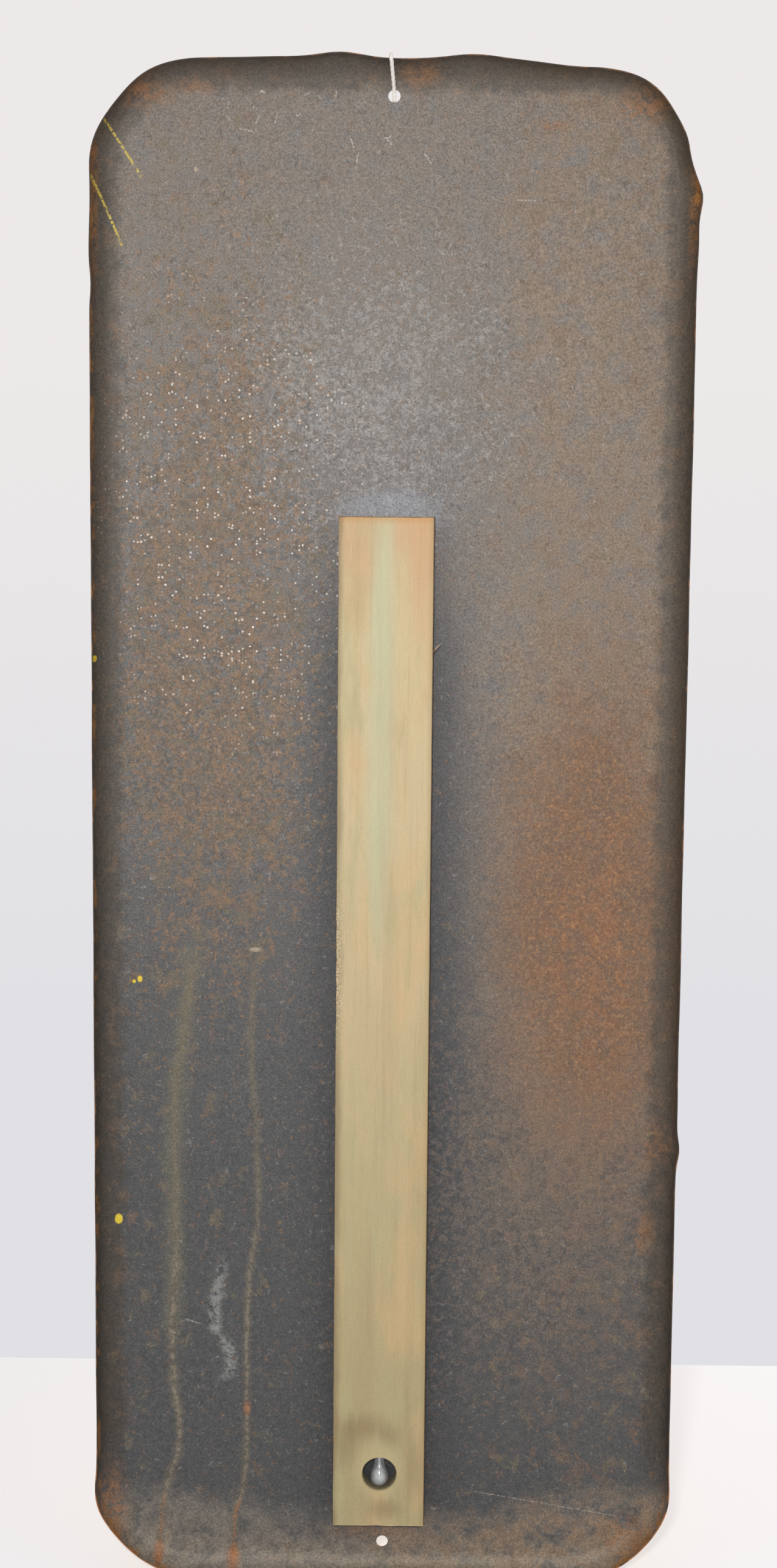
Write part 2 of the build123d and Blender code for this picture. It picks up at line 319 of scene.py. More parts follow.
    def run_down(self, bends, width, soft=0.5, breaks=None):
        """1 along a line that wanders down the sheet through bends, each (x, z), from the top one down."""
        xs = [x for x, z in bends]
        zs = [z for x, z in bends]
        left, right = min(xs) - 1, max(xs) + 1
        low, high = min(zs), max(zs)
        node = self.tree.nodes.new("ShaderNodeFloatCurve")
        curve = node.mapping.curves[0]
        spots = sorted(((z - low) / (high - low), (x - left) / (right - left)) for x, z in bends)
        curve.points[0].location = spots[0]
        curve.points[1].location = spots[-1]
        for spot in spots[1:-1]:
            curve.points.new(*spot)
        node.mapping.update()
        share = self.math("DIVIDE", self.minus(self.z, low), high - low)
        self.put(node.inputs["Value"], share)
        middle = self.line(node.outputs[0], right - left, left)
        far = self.math("ABSOLUTE", self.minus(self.x, middle))
        if breaks is not None:
            far = self.plus(far, self.about(breaks, 2 * width))
        line = self.ease(far, width * (0.5 + soft), width * (0.5 - soft))
        below = self.ease(self.z, low - 3, low + 6)
        above = self.ease(self.z, high + 3, high - 12)
        return self.math("MULTIPLY", line, self.math("MULTIPLY", below, above))

    def plate(self, x, z, wide, high, corner):
        """Signed distance in millimetres from a rounded rectangle's edge: below 0 inside."""
        from_x = self.math("ABSOLUTE", self.minus(self.x, x))
        from_z = self.math("ABSOLUTE", self.minus(self.z, z))
        across = self.minus(from_x, wide / 2 - corner)
        along = self.minus(from_z, high / 2 - corner)
        out_x = self.most(across, 0.0)
        out_z = self.most(along, 0.0)
        outside = self.length(out_x, out_z)
        inside = self.math("MINIMUM", self.most(across, along), 0.0)
        return self.minus(self.plus(outside, inside), corner)

    def bump(self, height, depth, normal=None):
        """Bump whose height runs from 0 to 1 over depth millimetres."""
        node = self.add("ShaderNodeBump", Height=height, Strength=1.0, Distance=depth * MM)
        if normal is not None:
            self.put(node.inputs["Normal"], normal)
        return node.outputs[0]

    def times(self, *values):
        result = values[0]
        for value in values[1:]:
            result = self.math("MULTIPLY", result, value)
        return result

    def finish(self, colour, rough, metal=0.0, normal=None, **others):
        self.put(self.shader.inputs["Base Color"], colour)
        self.put(self.shader.inputs["Roughness"], rough)
        self.put(self.shader.inputs["Metallic"], metal)
        if normal is not None:
            self.put(self.shader.inputs["Normal"], normal)
        for name, value in others.items():
            self.put(self.shader.inputs[name.replace("_", " ")], value)
        return self.material


# Marks on the wall side, in millimetres: places are (x, z)

RUST_PATCHES = [
    # x, z, half width, half height, strength
    (104, 313, 10, 6, 0.55),
    (-104, 317, 10, 5, 0.5),
    (-82, 320, 8, 3, 0.4),
    (11, 325, 8, 4, 0.45),
    (66, 305, 7, 1.6, 0.45),
    (-121, -305, 6, 18, 0.6),
    (112, -314, 12, 9, 0.6),
    (-125.5, 282, 1.6, 34, 0.6),
    (125.5, 272, 1.6, 22, 0.5),
    (119, -131, 5, 8, 0.4),
    (115, -172, 4, 8, 0.4),
    (-6, -311, 16, 4, 0.3),
]
RUNS = [
    # bends from the top down, width, strength
    ([
        (-84, -47), (-89, -85), (-93, -126), (-92, -167), (-94, -223), (-93, -248),
        (-91, -265), (-94, -283), (-98, -298), (-100, -318), (-100.5, -329),
    ], 3.4, 0.5),
    ([
        (-57.5, -48), (-59, -85), (-57, -126), (-56, -159), (-60, -195), (-61, -223),
        (-60.8, -255), (-61, -274), (-63, -293), (-66.8, -316), (-66.7, -329),
    ], 2.8, 0.5),
]
RUN_ENDS = [(-100.3, -322, 2.2), (-66.8, -325, 2.6), (-60.8, -255, 1.5)]
WIDE_RUN = [(-84, -40), (-87, -70), (-91, -105), (-94, -140), (-93, -180), (-94, -225)]
PALE_SCRAPE = [(-70, -184), (-73, -195), (-75, -217), (-68, -229), (-72, -242)]
PAINT_SCRAPES = [((-120.4, 305.1), (-105.9, 282.8), 0.9), ((-126.4, 282.7), (-114.3, 254.7), 0.9)]
PAINT_SPOTS = [
    # x, z, half width, half height
    (-107.9, -60.0, 1.1, 1.5),
    (-110.5, -61.1, 0.8, 0.8),
    (-117.7, -168.2, 1.7, 2.3),
    (-126.1, 80.5, 0.8, 1.4),
]
CREAM_SPOTS = [(-57.5, -46.5, 2.4, 0.9), (-83, 286, 0.9, 0.9)]
SCRATCHES = [
    # middle x and z, run in x and z, width
    (73.0, -298.0, 63, -10.7, 0.35),
    (-55.4, 318.0, 2, -0.5, 0.8),
    (-69.4, 312.5, 0.5, 2.5, 0.6),
    (-58.9, 311.6, 0.3, 3, 0.5),
    (-57.2, 306.6, 1.5, 3, 0.5),
    (-62.0, 302.2, 5, -0.8, 0.5),
    (-49.5, 306.7, 0.8, 4, 0.5),
    (-36.6, 316.9, 1.5, 0.6, 0.8),
    (-24.4, 316.0, 0.3, 5, 0.5),
    (-40.1, 308.5, 1.6, 0.6, 0.7),
    (-34.0, 302.8, 1, 0.8, 0.6),
    (-17.6, 297.5, 1.5, -4, 0.5),
    (-15.5, 290.0, 1.2, 6, 0.5),
    (-2.6, 299.6, 2.2, 0.6, 0.8),
    (-1.9, 297.8, 1.2, -1.6, 0.8),
    (14.3, 291.0, 2.8, -4, 0.5),
    (55.9, 274.3, 8, 0, 0.5),
    (22.9, -300.8, 1.2, 0, 1.0),
    (-84.5, -215.0, 7, -2, 0.7),
]


BORE_STAINS = [
    # from the bore's middle: x, z, half width, half height, strength
    (-7, 22, 8, 5, 0.4),
    (-15, 14, 5, 9, 0.38),
    (5, 18, 4, 5, 0.3),
    (15, 3, 4, 12, 0.28),
    (3, -16, 6, 4, 0.4),
]


# Materials

def steel_back():
    """The bare wall side of the sheet: grey oxide, brown film, rust, pits, runs and paint marks, with painted
    light and shade laid in: lighter above, glints, a pale reflection above the strip, a shaded roll and a
    paler bottom roll.
    """
    g = Graph("steel_back")
    broad = g.noise(90, detail=3, seed=3.1)
    cloud = g.noise(26, detail=6, rough=0.6, seed=7.7)
    lumps = g.noise(11, detail=8, rough=0.68, seed=1.3, warp=0.3)
    other_lumps = g.noise(8, detail=8, rough=0.7, seed=18.3, warp=0.3)
    mottle = g.noise(3.4, detail=6, rough=0.7, seed=5.9, warp=0.6)
    grit = g.noise(0.75, detail=3, rough=0.7, seed=2.4)
    rim = g.math("MULTIPLY", g.plate(0, 0, 2 * HALF_WIDTH, 2 * HALF_HEIGHT, CORNER), -1.0)
    beside = g.math("ABSOLUTE", g.minus(g.x, (strip_low.x + strip_high.x) / 2))
    left = g.ease(g.x, -10, -40)
    right = g.ease(g.plus(g.x, g.about(cloud, 60)), 15, 70)

    def patches(field, share, sharp=0.07):
        """1 where the field's lumps stand out: nowhere for a share of 0, nearly everywhere for 1."""
        return g.ease(g.line(share, 0.26, field), 0.61, 0.61 + sharp)

    # Grey oxide, bluer below; painted light makes it lighter above, standing in for the lamp's sheen and
    # falloff
    height = g.ease(g.plus(g.z, g.about(broad, 160)), -170, 200)
    colour = g.mix(height, srgb(84, 86, 88), srgb(126, 123, 121))
    # Brown film over the right half and the upper middle
    film = g.most(g.times(right, g.ease(g.z, -330, 30)), g.times(g.ease(g.z, 120, 300), 0.55))
    film = g.times(film, g.ease(lumps, 0.3, 0.55))
    colour = g.over(colour, film, 0.72, 146, 126, 104)
    # Dark bands beside the strip
    band = g.times(g.ease(beside, 44, 22), g.ease(g.z, 158, 60), g.ease(g.z, -316, -285))
    colour = g.over(colour, band, 0.7, 74, 76, 80)
    # Olive and red-brown patches, thickest on the upper left
    specks = g.blob(-78, 96, 46, 150, soft=0.6, edge=cloud)
    thinning = g.line(g.ease(g.z, -150, 10), 0.1, 0.12)
    spread = g.most(g.times(specks, 0.62), g.times(left, g.ease(beside, 30, 50), thinning))
    olive = patches(lumps, g.plus(spread, g.times(right, 0.2)))
    colour = g.over(colour, olive, 0.5, 126, 112, 84)
    reddish = patches(other_lumps, g.plus(g.times(spread, 0.8), g.times(right, 0.3)))
    colour = g.over(colour, reddish, 0.42, 134, 108, 88)
    warm = patches(g.noise(2.8, detail=5, rough=0.7, seed=27.0), g.times(specks, 0.55))
    colour = g.over(colour, warm, 0.5, 158, 122, 86)
    dark = patches(mottle, g.line(specks, 0.25, 0.2))
    colour = g.over(colour, dark, 0.45, 62, 60, 58)
    # Pale mottle over the upper middle, and a painted reflection: a pale bluish patch above the strip's top
    # end
    middle = g.blob(-8, 192, 48, 58, soft=0.9, edge=cloud)
    pale_grain = g.noise(2.6, detail=6, rough=0.72, seed=25.0, warp=0.8)
    light = patches(pale_grain, g.line(middle, 0.5, 0.05))
    colour = g.over(colour, light, 0.45, 172, 171, 170)
    painted_reflection_patch = g.blob(0, 143, 20, 9, soft=0.55, edge=other_lumps)
    colour = g.over(colour, painted_reflection_patch, 0.75, 158, 164, 174)
    # Painted glints: white specks on the upper left, standing in for highlights on pits
    spot, tint = g.cells(1.5, seed=4.0)
    chosen = g.ease(g.add("ShaderNodeSeparateColor", Color=tint).outputs[0], 0.74, 0.8)
    place = g.times(g.blob(-72, 138, 58, 84, soft=0.7, edge=cloud), g.ease(other_lumps, 0.43, 0.54))
    painted_glint = g.times(place, chosen, g.ease(spot, 0.4, 0.22))
    colour = g.mix(painted_glint, colour, srgb(236, 230, 222))
    # Rust, middle right
    rust_area = g.blob(88, -32, 38, 104, soft=0.6, edge=cloud)
    low_rust_area = g.blob(62, -150, 70, 90, soft=0.8, edge=lumps)
    colour = g.over(colour, rust_area, 0.7, 142, 110, 82)
    deep_rust = patches(mottle, g.times(rust_area, 0.8))
    colour = g.mix(g.times(deep_rust, rust_area, 0.65), colour, srgb(112, 84, 62))
    strong = g.times(g.blob(90, -40, 26, 66, soft=0.9, edge=lumps), g.ease(other_lumps, 0.42, 0.62))
    colour = g.over(colour, strong, 0.6, 158, 104, 62)
    fleck = patches(g.noise(2.0, detail=4, rough=0.7, seed=29.0), g.times(rust_area, 0.35))
    colour = g.over(colour, fleck, 0.5, 176, 130, 84)
    colour = g.mix(g.times(patches(mottle, g.times(low_rust_area, 0.55)), 0.3), colour, srgb(136, 116, 100))
    # Bottom band
    sunk = g.times(g.ease(g.math("ABSOLUTE", g.x), 20, 110), 12)
    ragged_z = g.minus(g.plus(g.z, g.about(cloud, 26)), sunk)
    bottom = g.ease(ragged_z, -296, -318)
    colour = g.mix(g.times(bottom, g.ease(lumps, 0.28, 0.56), 0.75), colour, srgb(142, 134, 124))
    low_rust = g.times(g.ease(ragged_z, -298, -322), g.ease(lumps, 0.4, 0.56), g.ease(g.x, -30, 30))
    colour = g.over(colour, low_rust, 0.6, 156, 124, 92)
    # Rim: painted shade darkens the roll everywhere but the bottom; rust in its hollow, a raw orange lip
    ragged_rim = g.plus(rim, g.about(lumps, 14))
    painted_roll_shade = g.times(g.ease(ragged_rim, 14.5, 8), g.ease(g.z, -304, -262))
    colour = g.mix(g.times(painted_roll_shade, 0.75), colour, g.mix(other_lumps, srgb(58, 54, 46), srgb(84, 72, 58)))
    # Painted light: the bottom roll made paler in patches, where it faces up into the lamp
    painted_low_roll_light = g.times(g.ease(rim, 20, 6), g.ease(g.z, -296, -318), g.ease(other_lumps, 0.36, 0.56))
    colour = g.over(colour, painted_low_roll_light, 0.5, 172, 158, 138)
    rim_rust = g.times(g.ease(rim, 22, 10), patches(other_lumps, 0.3), g.ease(rim, 1.5, 6))
    colour = g.over(colour, rim_rust, 0.3, 128, 100, 76)
    for x, z, wide, high, strength in RUST_PATCHES:
        spread = g.times(g.blob(x, z, wide, high, soft=0.8, edge=lumps), g.ease(mottle, 0.38, 0.54))
        colour = g.over(colour, spread, strength, 158, 106, 58)
    worn_side = g.times(g.ease(g.x, -95, -112), g.ease(lumps, 0.4, 0.6))
    kink = g.times(g.ease(g.x, 108, 116), g.ease(g.z, 246, 258), g.ease(g.z, 306, 296))
    worn_side = g.most(worn_side, g.most(g.ease(g.z, -262, -300), kink))
    lip_wear = g.times(g.ease(rim, 1.7, 0.5), g.ease(lumps, 0.47, 0.57), worn_side)
    colour = g.over(colour, lip_wear, 0.8, 172, 118, 58)
    # Runs of rusty water, and a pale scrape
    stain = g.run_down(WIDE_RUN, 7.5, breaks=lumps)
    colour = g.over(colour, stain, 0.42, 124, 120, 98)
    for bends, width, strength in RUNS:
        line = g.run_down(bends, width, breaks=other_lumps)
        colour = g.over(colour, line, strength, 126, 116, 94)
        core = g.run_down(bends, 0.5 * width, breaks=other_lumps)
        core = g.times(core, g.ease(mottle, 0.42, 0.56), g.ease(g.z, -120, -220))
        tone = g.mix(g.ease(g.z, -292, -304), srgb(146, 134, 118), srgb(166, 112, 70))
        colour = g.mix(g.times(core, 0.7), colour, tone)
    for x, z, size in RUN_ENDS:
        end = g.blob(x, z, size, 2.0 * size, soft=0.6, edge=other_lumps)
        colour = g.over(colour, end, 0.6, 178, 116, 70)
    scrape = g.run_down(PALE_SCRAPE, 4.2, breaks=other_lumps)
    colour = g.mix(g.times(scrape, g.ease(mottle, 0.42, 0.52), 0.75), colour, srgb(150, 152, 150))
    # Scratches and splashes of the front's paint
    dashes = g.ease(g.noise(1.4, detail=2, seed=6.2), 0.4, 0.48)
    for start, end, width in PAINT_SCRAPES:
        colour = g.mix(g.times(g.stroke(start, end, width), dashes), colour, srgb(206, 186, 84))
    for x, z, run_x, run_z, width in SCRATCHES:
        line = g.stroke((x - run_x / 2, z - run_z / 2), (x + run_x / 2, z + run_z / 2), width)
        scratch = g.times(line, g.ease(grit, 0.35, 0.55), 0.7)
        colour = g.mix(scratch, colour, srgb(198, 192, 184))
    for x, z, wide, high in PAINT_SPOTS:
        colour = g.mix(g.blob(x, z, wide, high, soft=0.15), colour, srgb(222, 200, 58))
    for x, z, wide, high in CREAM_SPOTS:
        colour = g.mix(g.times(g.blob(x, z, wide, high, soft=0.3), 0.8), colour, srgb(186, 170, 148))
    # Fine grain over all
    colour = g.grain(colour, 0.5, g.ease(grit, 0.25, 0.75), (30, 30, 30), (232, 228, 224))
    colour = g.grain(colour, 0.3, g.ease(mottle, 0.3, 0.7), (60, 60, 60), (200, 200, 200))

    pits = g.plus(g.times(grit, 0.3), g.times(mottle, 0.7))
    normal = g.bump(pits, 0.22)
    normal = g.bump(lumps, 0.3, normal)
    rough = g.line(mottle, 0.3, 0.38)
    metal = g.times(g.minus(1.0, g.most(rust_area, olive)), 0.15)
    return g.finish(colour, rough, metal, normal)


def raw_edge():
    """The sheet's cut edge: rust with worn bright spots."""
    g = Graph("raw_edge")
    patch = g.noise(7, detail=5, seed=2.2)
    grit = g.noise(0.7, detail=3, seed=9.2)
    colour = g.mix(g.ease(patch, 0.5, 0.66), srgb(60, 50, 42), srgb(128, 88, 54))
    low = g.times(g.ease(g.z, -262, -300), g.ease(patch, 0.36, 0.5))
    colour = g.mix(low, colour, srgb(176, 112, 60))
    colour = g.grain(colour, 0.3, grit, (40, 40, 40), (220, 220, 220))
    return g.finish(colour, g.line(grit, 0.3, 0.5), 0.2, g.bump(grit, 0.08))


def enamel_front():
    """The printed face: yellow enamel with a dark border, a pale scale panel and wear down to rust."""
    g = Graph("enamel_front")
    cloud = g.noise(40, detail=5, seed=11.0)
    patch = g.noise(12, detail=6, rough=0.62, seed=12.0)
    chip = g.noise(3.2, detail=6, rough=0.7, seed=13.0)
    grit = g.noise(0.6, detail=3, seed=14.0)
    streak = g.noise(16, detail=4, stretch=(0.25, 1, 5), seed=15.0)
    yellow = g.mix(cloud, srgb(212, 170, 52), srgb(228, 192, 80))
    navy = g.mix(cloud, srgb(26, 34, 58), srgb(40, 48, 74))
    cream = g.mix(cloud, srgb(226, 214, 180), srgb(236, 226, 198))
    colour = yellow
    rim = g.math("MULTIPLY", g.plate(0, 0, 2 * HALF_WIDTH, 2 * HALF_HEIGHT, CORNER), -1.0)
    for inner, outer, paint in ((12, 17, navy), (19, 20.2, navy)):
        line = g.times(g.ease(rim, inner - 0.15, inner + 0.15), g.ease(rim, outer + 0.15, outer - 0.15))
        colour = g.mix(line, colour, paint)
    panel_middle = (SCALE_BOTTOM + SCALE_TOP) / 2
    scale_panel = g.plate(TUBE_X, panel_middle, 112, SCALE_TOP - SCALE_BOTTOM + 44, 18)
    colour = g.mix(g.ease(scale_panel, 0.15, -0.15), colour, navy)
    colour = g.mix(g.ease(scale_panel, -1.65, -1.95), colour, cream)
    head = g.plate(0, 222, 178, 118, 30)
    colour = g.mix(g.ease(head, 0.15, -0.15), colour, navy)
    colour = g.mix(g.times(g.ease(head, -3.9, -4.2), g.ease(head, -5.9, -5.6)), colour, yellow)
    # Fading, dirt that ran down, and wear
    colour = g.mix(g.times(g.ease(streak, 0.5, 0.75), 0.3), colour, srgb(150, 118, 78))
    near_rim = g.ease(rim, 30, 4)
    loss = g.plus(g.times(chip, 0.55), g.times(patch, 0.45))
    limit = g.line(near_rim, -0.115, 0.655)
    bare = g.ease(g.minus(loss, limit), -0.004, 0.008)
    halo = g.ease(g.minus(loss, limit), -0.05, 0.0)
    rust = g.mix(g.ease(grit, 0.3, 0.7), srgb(86, 52, 34), srgb(134, 84, 50))
    for x, z in ((0, NAIL_Z), (0, -NAIL_Z)):
        ring = g.blob(x, z, 6.5, 7.5, soft=0.5, edge=chip)
        bare = g.most(bare, ring)
    colour = g.over(colour, halo, 0.55, 168, 106, 48)
    colour = g.mix(bare, colour, rust)
    scuffs = g.noise(2.0, detail=2, stretch=(9, 1, 0.6), seed=17.0)
    colour = g.mix(g.times(g.ease(scuffs, 0.66, 0.72), 0.35), colour, srgb(240, 232, 212))
    depth = g.minus(1.0, bare)
    normal = g.bump(depth, 0.10)
    normal = g.bump(g.plus(g.times(chip, 0.6), grit), 0.02, normal)
    uneven = g.minus(patch, 0.5)
    rough = g.line(uneven, 0.2, g.line(bare, 0.5, 0.34))
    return g.finish(colour, rough, 0.0, normal, Coat_Weight=0.15)


def scale_ink():
    """Dark enamel of the marks and numbers, worn through here and there."""
    g = Graph("scale_ink")
    chip = g.noise(2.4, detail=6, rough=0.7, seed=21.0)
    fade = g.noise(20, detail=3, seed=22.0)
    colour = g.mix(fade, srgb(22, 28, 48), srgb(48, 54, 78))
    colour = g.mix(g.ease(chip, 0.63, 0.66), colour, srgb(206, 190, 152))
    return g.finish(colour, g.line(chip, 0.3, 0.3), 0.0, g.bump(chip, 0.02))


def old_wood():
    """The bare softwood strip: smooth pale tan with soft stains; painted shade makes it darker towards its
    lower end, where the lamp's light falls off, and darker inside the bore.
    """
    g = Graph("old_wood")
    warp = g.noise(60, detail=3, stretch=(1, 1, 3), seed=31.0)
    soft = g.noise(16, detail=4, stretch=(1, 1, 3.5), seed=35.0)
    other = g.noise(12, detail=4, stretch=(1, 1, 4), seed=38.5)
    wide = g.noise(9, detail=4, stretch=(1, 1, 22), seed=32.0, warp=0.4)
    grain = g.noise(2.4, detail=4, stretch=(1, 1, 34), rough=0.6, seed=33.0)
    fibre = g.noise(0.5, detail=3, stretch=(1, 1, 14), rough=0.7, seed=34.0)
    nap = g.noise(0.8, detail=4, rough=0.7, seed=37.0)
    # Painted falloff: darker towards the lower end, standing in for the lamp's light falling off
    low = g.ease(g.plus(g.z, g.about(soft, 140)), 90, -280)
    colour = g.mix(low, srgb(212, 198, 158), srgb(188, 173, 131))
    colour = g.mix(g.times(g.ease(soft, 0.48, 0.66), 0.5), colour, srgb(214, 184, 138))
    colour = g.mix(g.times(g.ease(other, 0.5, 0.66), 0.45), colour, srgb(188, 182, 138))
    colour = g.mix(g.times(g.ease(wide, 0.48, 0.66), 0.22), colour, srgb(176, 150, 110))
    colour = g.mix(g.times(g.ease(grain, 0.52, 0.7), 0.13), colour, srgb(156, 132, 96))
    # A pale greenish streak down the upper middle
    streak = g.blob(-3.4, 66, 5.5, 92, soft=0.6, edge=wide)
    colour = g.over(colour, streak, 0.6, 202, 206, 176)
    # Pink and orange tints at the top, raw sawn end
    blush = g.times(g.ease(g.z, 84, 138), g.minus(1.0, streak), g.ease(soft, 0.3, 0.6))
    colour = g.over(colour, blush, 0.55, 212, 172, 132)
    colour = g.mix(g.times(g.ease(g.z, 138, 141.5), 0.5), colour, srgb(206, 156, 92))
    # Dark, ragged left edge with pale bruises; thin red-brown right edge
    from_left = g.plus(g.minus(g.x, strip_low.x), g.about(other, 9))
    colour = g.mix(g.times(g.ease(from_left, 4.2, 0.4), 0.6), colour, srgb(138, 112, 82))
    bruise = g.times(g.blob(strip_low.x, -52, 3, 34, soft=0.6, edge=soft), g.ease(nap, 0.46, 0.56))
    colour = g.over(colour, bruise, 0.75, 222, 206, 170)
    right_side = g.ease(g.x, strip_high.x - 3.2, strip_high.x - 0.4)
    colour = g.over(colour, right_side, 0.35, 170, 140, 92)
    near_edge = g.ease(g.x, strip_high.x - 0.8, strip_high.x - 0.25)
    past_edge = g.ease(g.x, strip_high.x + 0.9, strip_high.x + 0.3)
    right_edge = g.times(near_edge, past_edge)
    colour = g.over(colour, right_edge, 0.8, 98, 60, 36)
    # Brown stains above, beside and below the bore, and a pale ring round it
    for x, z, wide_half, high_half, strength in BORE_STAINS:
        stain = g.blob(TUBE_X + x, BORE_Z + z, wide_half, high_half, soft=0.85, edge=grain)
        colour = g.over(colour, stain, strength, 132, 104, 72)
    halo = g.blob(TUBE_X, BORE_Z + 2, 10.5, 12, soft=0.45, edge=warp)
    colour = g.over(colour, halo, 0.6, 204, 192, 146)
    # Painted shade: the bore's wall made darker the deeper it goes
    mouth = g.blob(TUBE_X, BORE_Z, 8.3, 8.3, soft=0.06)
    inside = g.times(mouth, g.ease(g.y, 0.3, 2.0))
    colour = g.over(colour, inside, 0.7, 104, 96, 84)
    end = g.ease(g.z, strip_low.z + 1.2, strip_low.z + 0.2)
    colour = g.over(colour, end, 0.5, 206, 196, 150)
    colour = g.grain(colour, 0.2, fibre, (64, 64, 64), (206, 206, 206))
    colour = g.grain(colour, 0.3, nap, (50, 50, 50), (210, 210, 210))
    normal = g.bump(grain, 0.10)
    normal = g.bump(fibre, 0.06, normal)
    normal = g.bump(nap, 0.03, normal)
    return g.finish(colour, g.line(grain, 0.2, 0.62), 0.0, normal, Specular_IOR_Level=0.3)


def old_glass():
    """Clear glass under a film of dust: seen through where it faces the eye, bright at its edges."""
    g = Graph("old_glass")
    dust = g.noise(1.6, detail=5, rough=0.65, seed=41.0)
    colour = g.mix(dust, srgb(214, 218, 224), srgb(238, 242, 246))
    facing = g.tree.nodes.new("ShaderNodeLayerWeight")
    facing.inputs["Blend"].default_value = 0.35
    edge = g.math("POWER", facing.outputs["Facing"], 1.6)
    solid = g.plus(g.line(dust, 0.14, 0.05), g.times(edge, 0.5))
    return g.finish(colour, g.line(dust, 0.2, 0.04), 0.0, g.bump(dust, 0.01), Alpha=solid)


def milk_glass():
    """The white enamel line that backs the bore of the stem."""
    g = Graph("milk_glass")
    cloud = g.noise(3, detail=4, seed=43.0)
    colour = g.mix(cloud, srgb(236, 234, 238), srgb(250, 249, 250))
    return g.finish(colour, g.line(cloud, 0.2, 0.3), 0.0, g.bump(cloud, 0.02))


def mercury(name, low, high):
    """Mercury with a dull skin where it lies against the glass."""
    g = Graph(name)
    skin = g.noise(2.2, detail=4, rough=0.6, seed=45.0)
    colour = g.mix(g.ease(skin, 0.35, 0.65), low, high)
    return g.finish(colour, g.line(skin, 0.2, 0.16), 0.35, g.bump(skin, 0.01))


def rusty_wire():
    g = Graph("rusty_wire")
    patch = g.noise(1.4, detail=5, seed=51.0)
    grit = g.noise(0.25, detail=3, seed=52.0)
    colour = g.mix(g.ease(patch, 0.42, 0.6), srgb(150, 142, 132), srgb(112, 72, 46))
    rough = g.line(patch, 0.5, 0.25)
    return g.finish(colour, rough, g.ease(patch, 0.6, 0.42), g.bump(grit, 0.03))


def brad_steel():
    g = Graph("brad_steel")
    patch = g.noise(1.8, detail=5, seed=55.0)
    grit = g.noise(0.3, detail=3, seed=56.0)
    colour = g.mix(g.ease(patch, 0.4, 0.58), srgb(126, 112, 92), srgb(96, 58, 38))
    rough = g.line(patch, 0.4, 0.35)
    return g.finish(colour, rough, g.times(g.ease(patch, 0.6, 0.42), 0.8), g.bump(grit, 0.05))


def cotton():
    """White cotton, greyed here and there by soil and fine fibre grain."""
    g = Graph("cotton")
    soil = g.noise(4, detail=4, seed=61.0)
    fibre = g.noise(0.12, detail=3, stretch=(1, 1, 4), seed=62.0)
    colour = g.mix(soil, srgb(226, 214, 200), srgb(246, 242, 236))
    colour = g.grain(colour, 0.25, fibre, (70, 70, 70), (210, 210, 210))
    return g.finish(colour, 0.92, 0.0, g.bump(fibre, 0.05), Sheen_Weight=0.3, Subsurface_Weight=0.1)


STEEL = steel_back()
EDGE = raw_edge()
ENAMEL = enamel_front()
INK = scale_ink()
WOOD = old_wood()
GLASS = old_glass()
MILK = milk_glass()
MERCURY = mercury("mercury", srgb(168, 172, 174), srgb(206, 208, 208))
# Darker than the bulb's mercury, so that the reading shows
THREAD = mercury("mercury_line", srgb(34, 36, 39), srgb(58, 61, 64))
WIRE = rusty_wire()
BRAD = brad_steel()
COTTON = cotton()


# String: up from the knot, through the nail hole, over the rim and down to the knot

STRING_WIDTH = 1.6
STRING_LIFT = 0.2
PLIES = 3
PLY_TWIST = 7.0  # length of one full twist


def string_route():
    off = STRING_WIDTH / 2 + STRING_LIFT
    face = DEPTH + off
    over = HALF_HEIGHT + off
    eighth = (ROLL + off) * tan(radians(22.5))
    x = (knot_low.x + knot_high.x) / 2
    y = (knot_low.y + knot_high.y) / 2
    knot_top = knot_high.z
    beside = STRING_WIDTH / 2 + STRING_LIFT / 2
    return [
        (x + beside, y, knot_top),
        (x + beside, y, knot_top + 4.0),
        (0.3, face + 0.3, NAIL_Z - 1.3),
        (-1.1, 0.0, over - 3.25),  # on the tight stretch, near the rim
        (-1.3, -1.6, over - 1.35),
        (-1.45, -0.7, over + 0.7),
        (-1.5, 1.5, over + 0.45),  # on the run over the rim, near the tight bend
        (-1.7, LIP + eighth + 0.4, over + 0.1),
        (-2.4, face + 0.1, over - off - ROLL + eighth + 0.4),
        (-3.9, face, NAIL_Z - 2.0),
        (x - beside, y, knot_top + 4.5),
        (x - beside, y, knot_top),
    ]


def nurbs_line(name, points, steps=12):
    """The points of a smooth line that the given ones control, in millimetres."""
    data = bpy.data.curves.new(name, "CURVE")
    data.dimensions = "3D"
    data.resolution_u = steps
    spline = data.splines.new("NURBS")
    spline.points.add(len(points) - 1)
    for spot, place in zip(spline.points, points):
        spot.co = (*(Vector(place) * MM), 1.0)
    spline.order_u = 3
    spline.use_endpoint_u = True
    holder = bpy.data.objects.new(name, data)
    bpy.context.collection.objects.link(holder)
    bpy.context.view_layer.update()
    line = bpy.data.meshes.new_from_object(holder.evaluated_get(bpy.context.evaluated_depsgraph_get()))
    places = [v.co.copy() / MM for v in line.vertices]
    bpy.data.objects.remove(holder)
    bpy.data.curves.remove(data)
    bpy.data.meshes.remove(line)
    return places


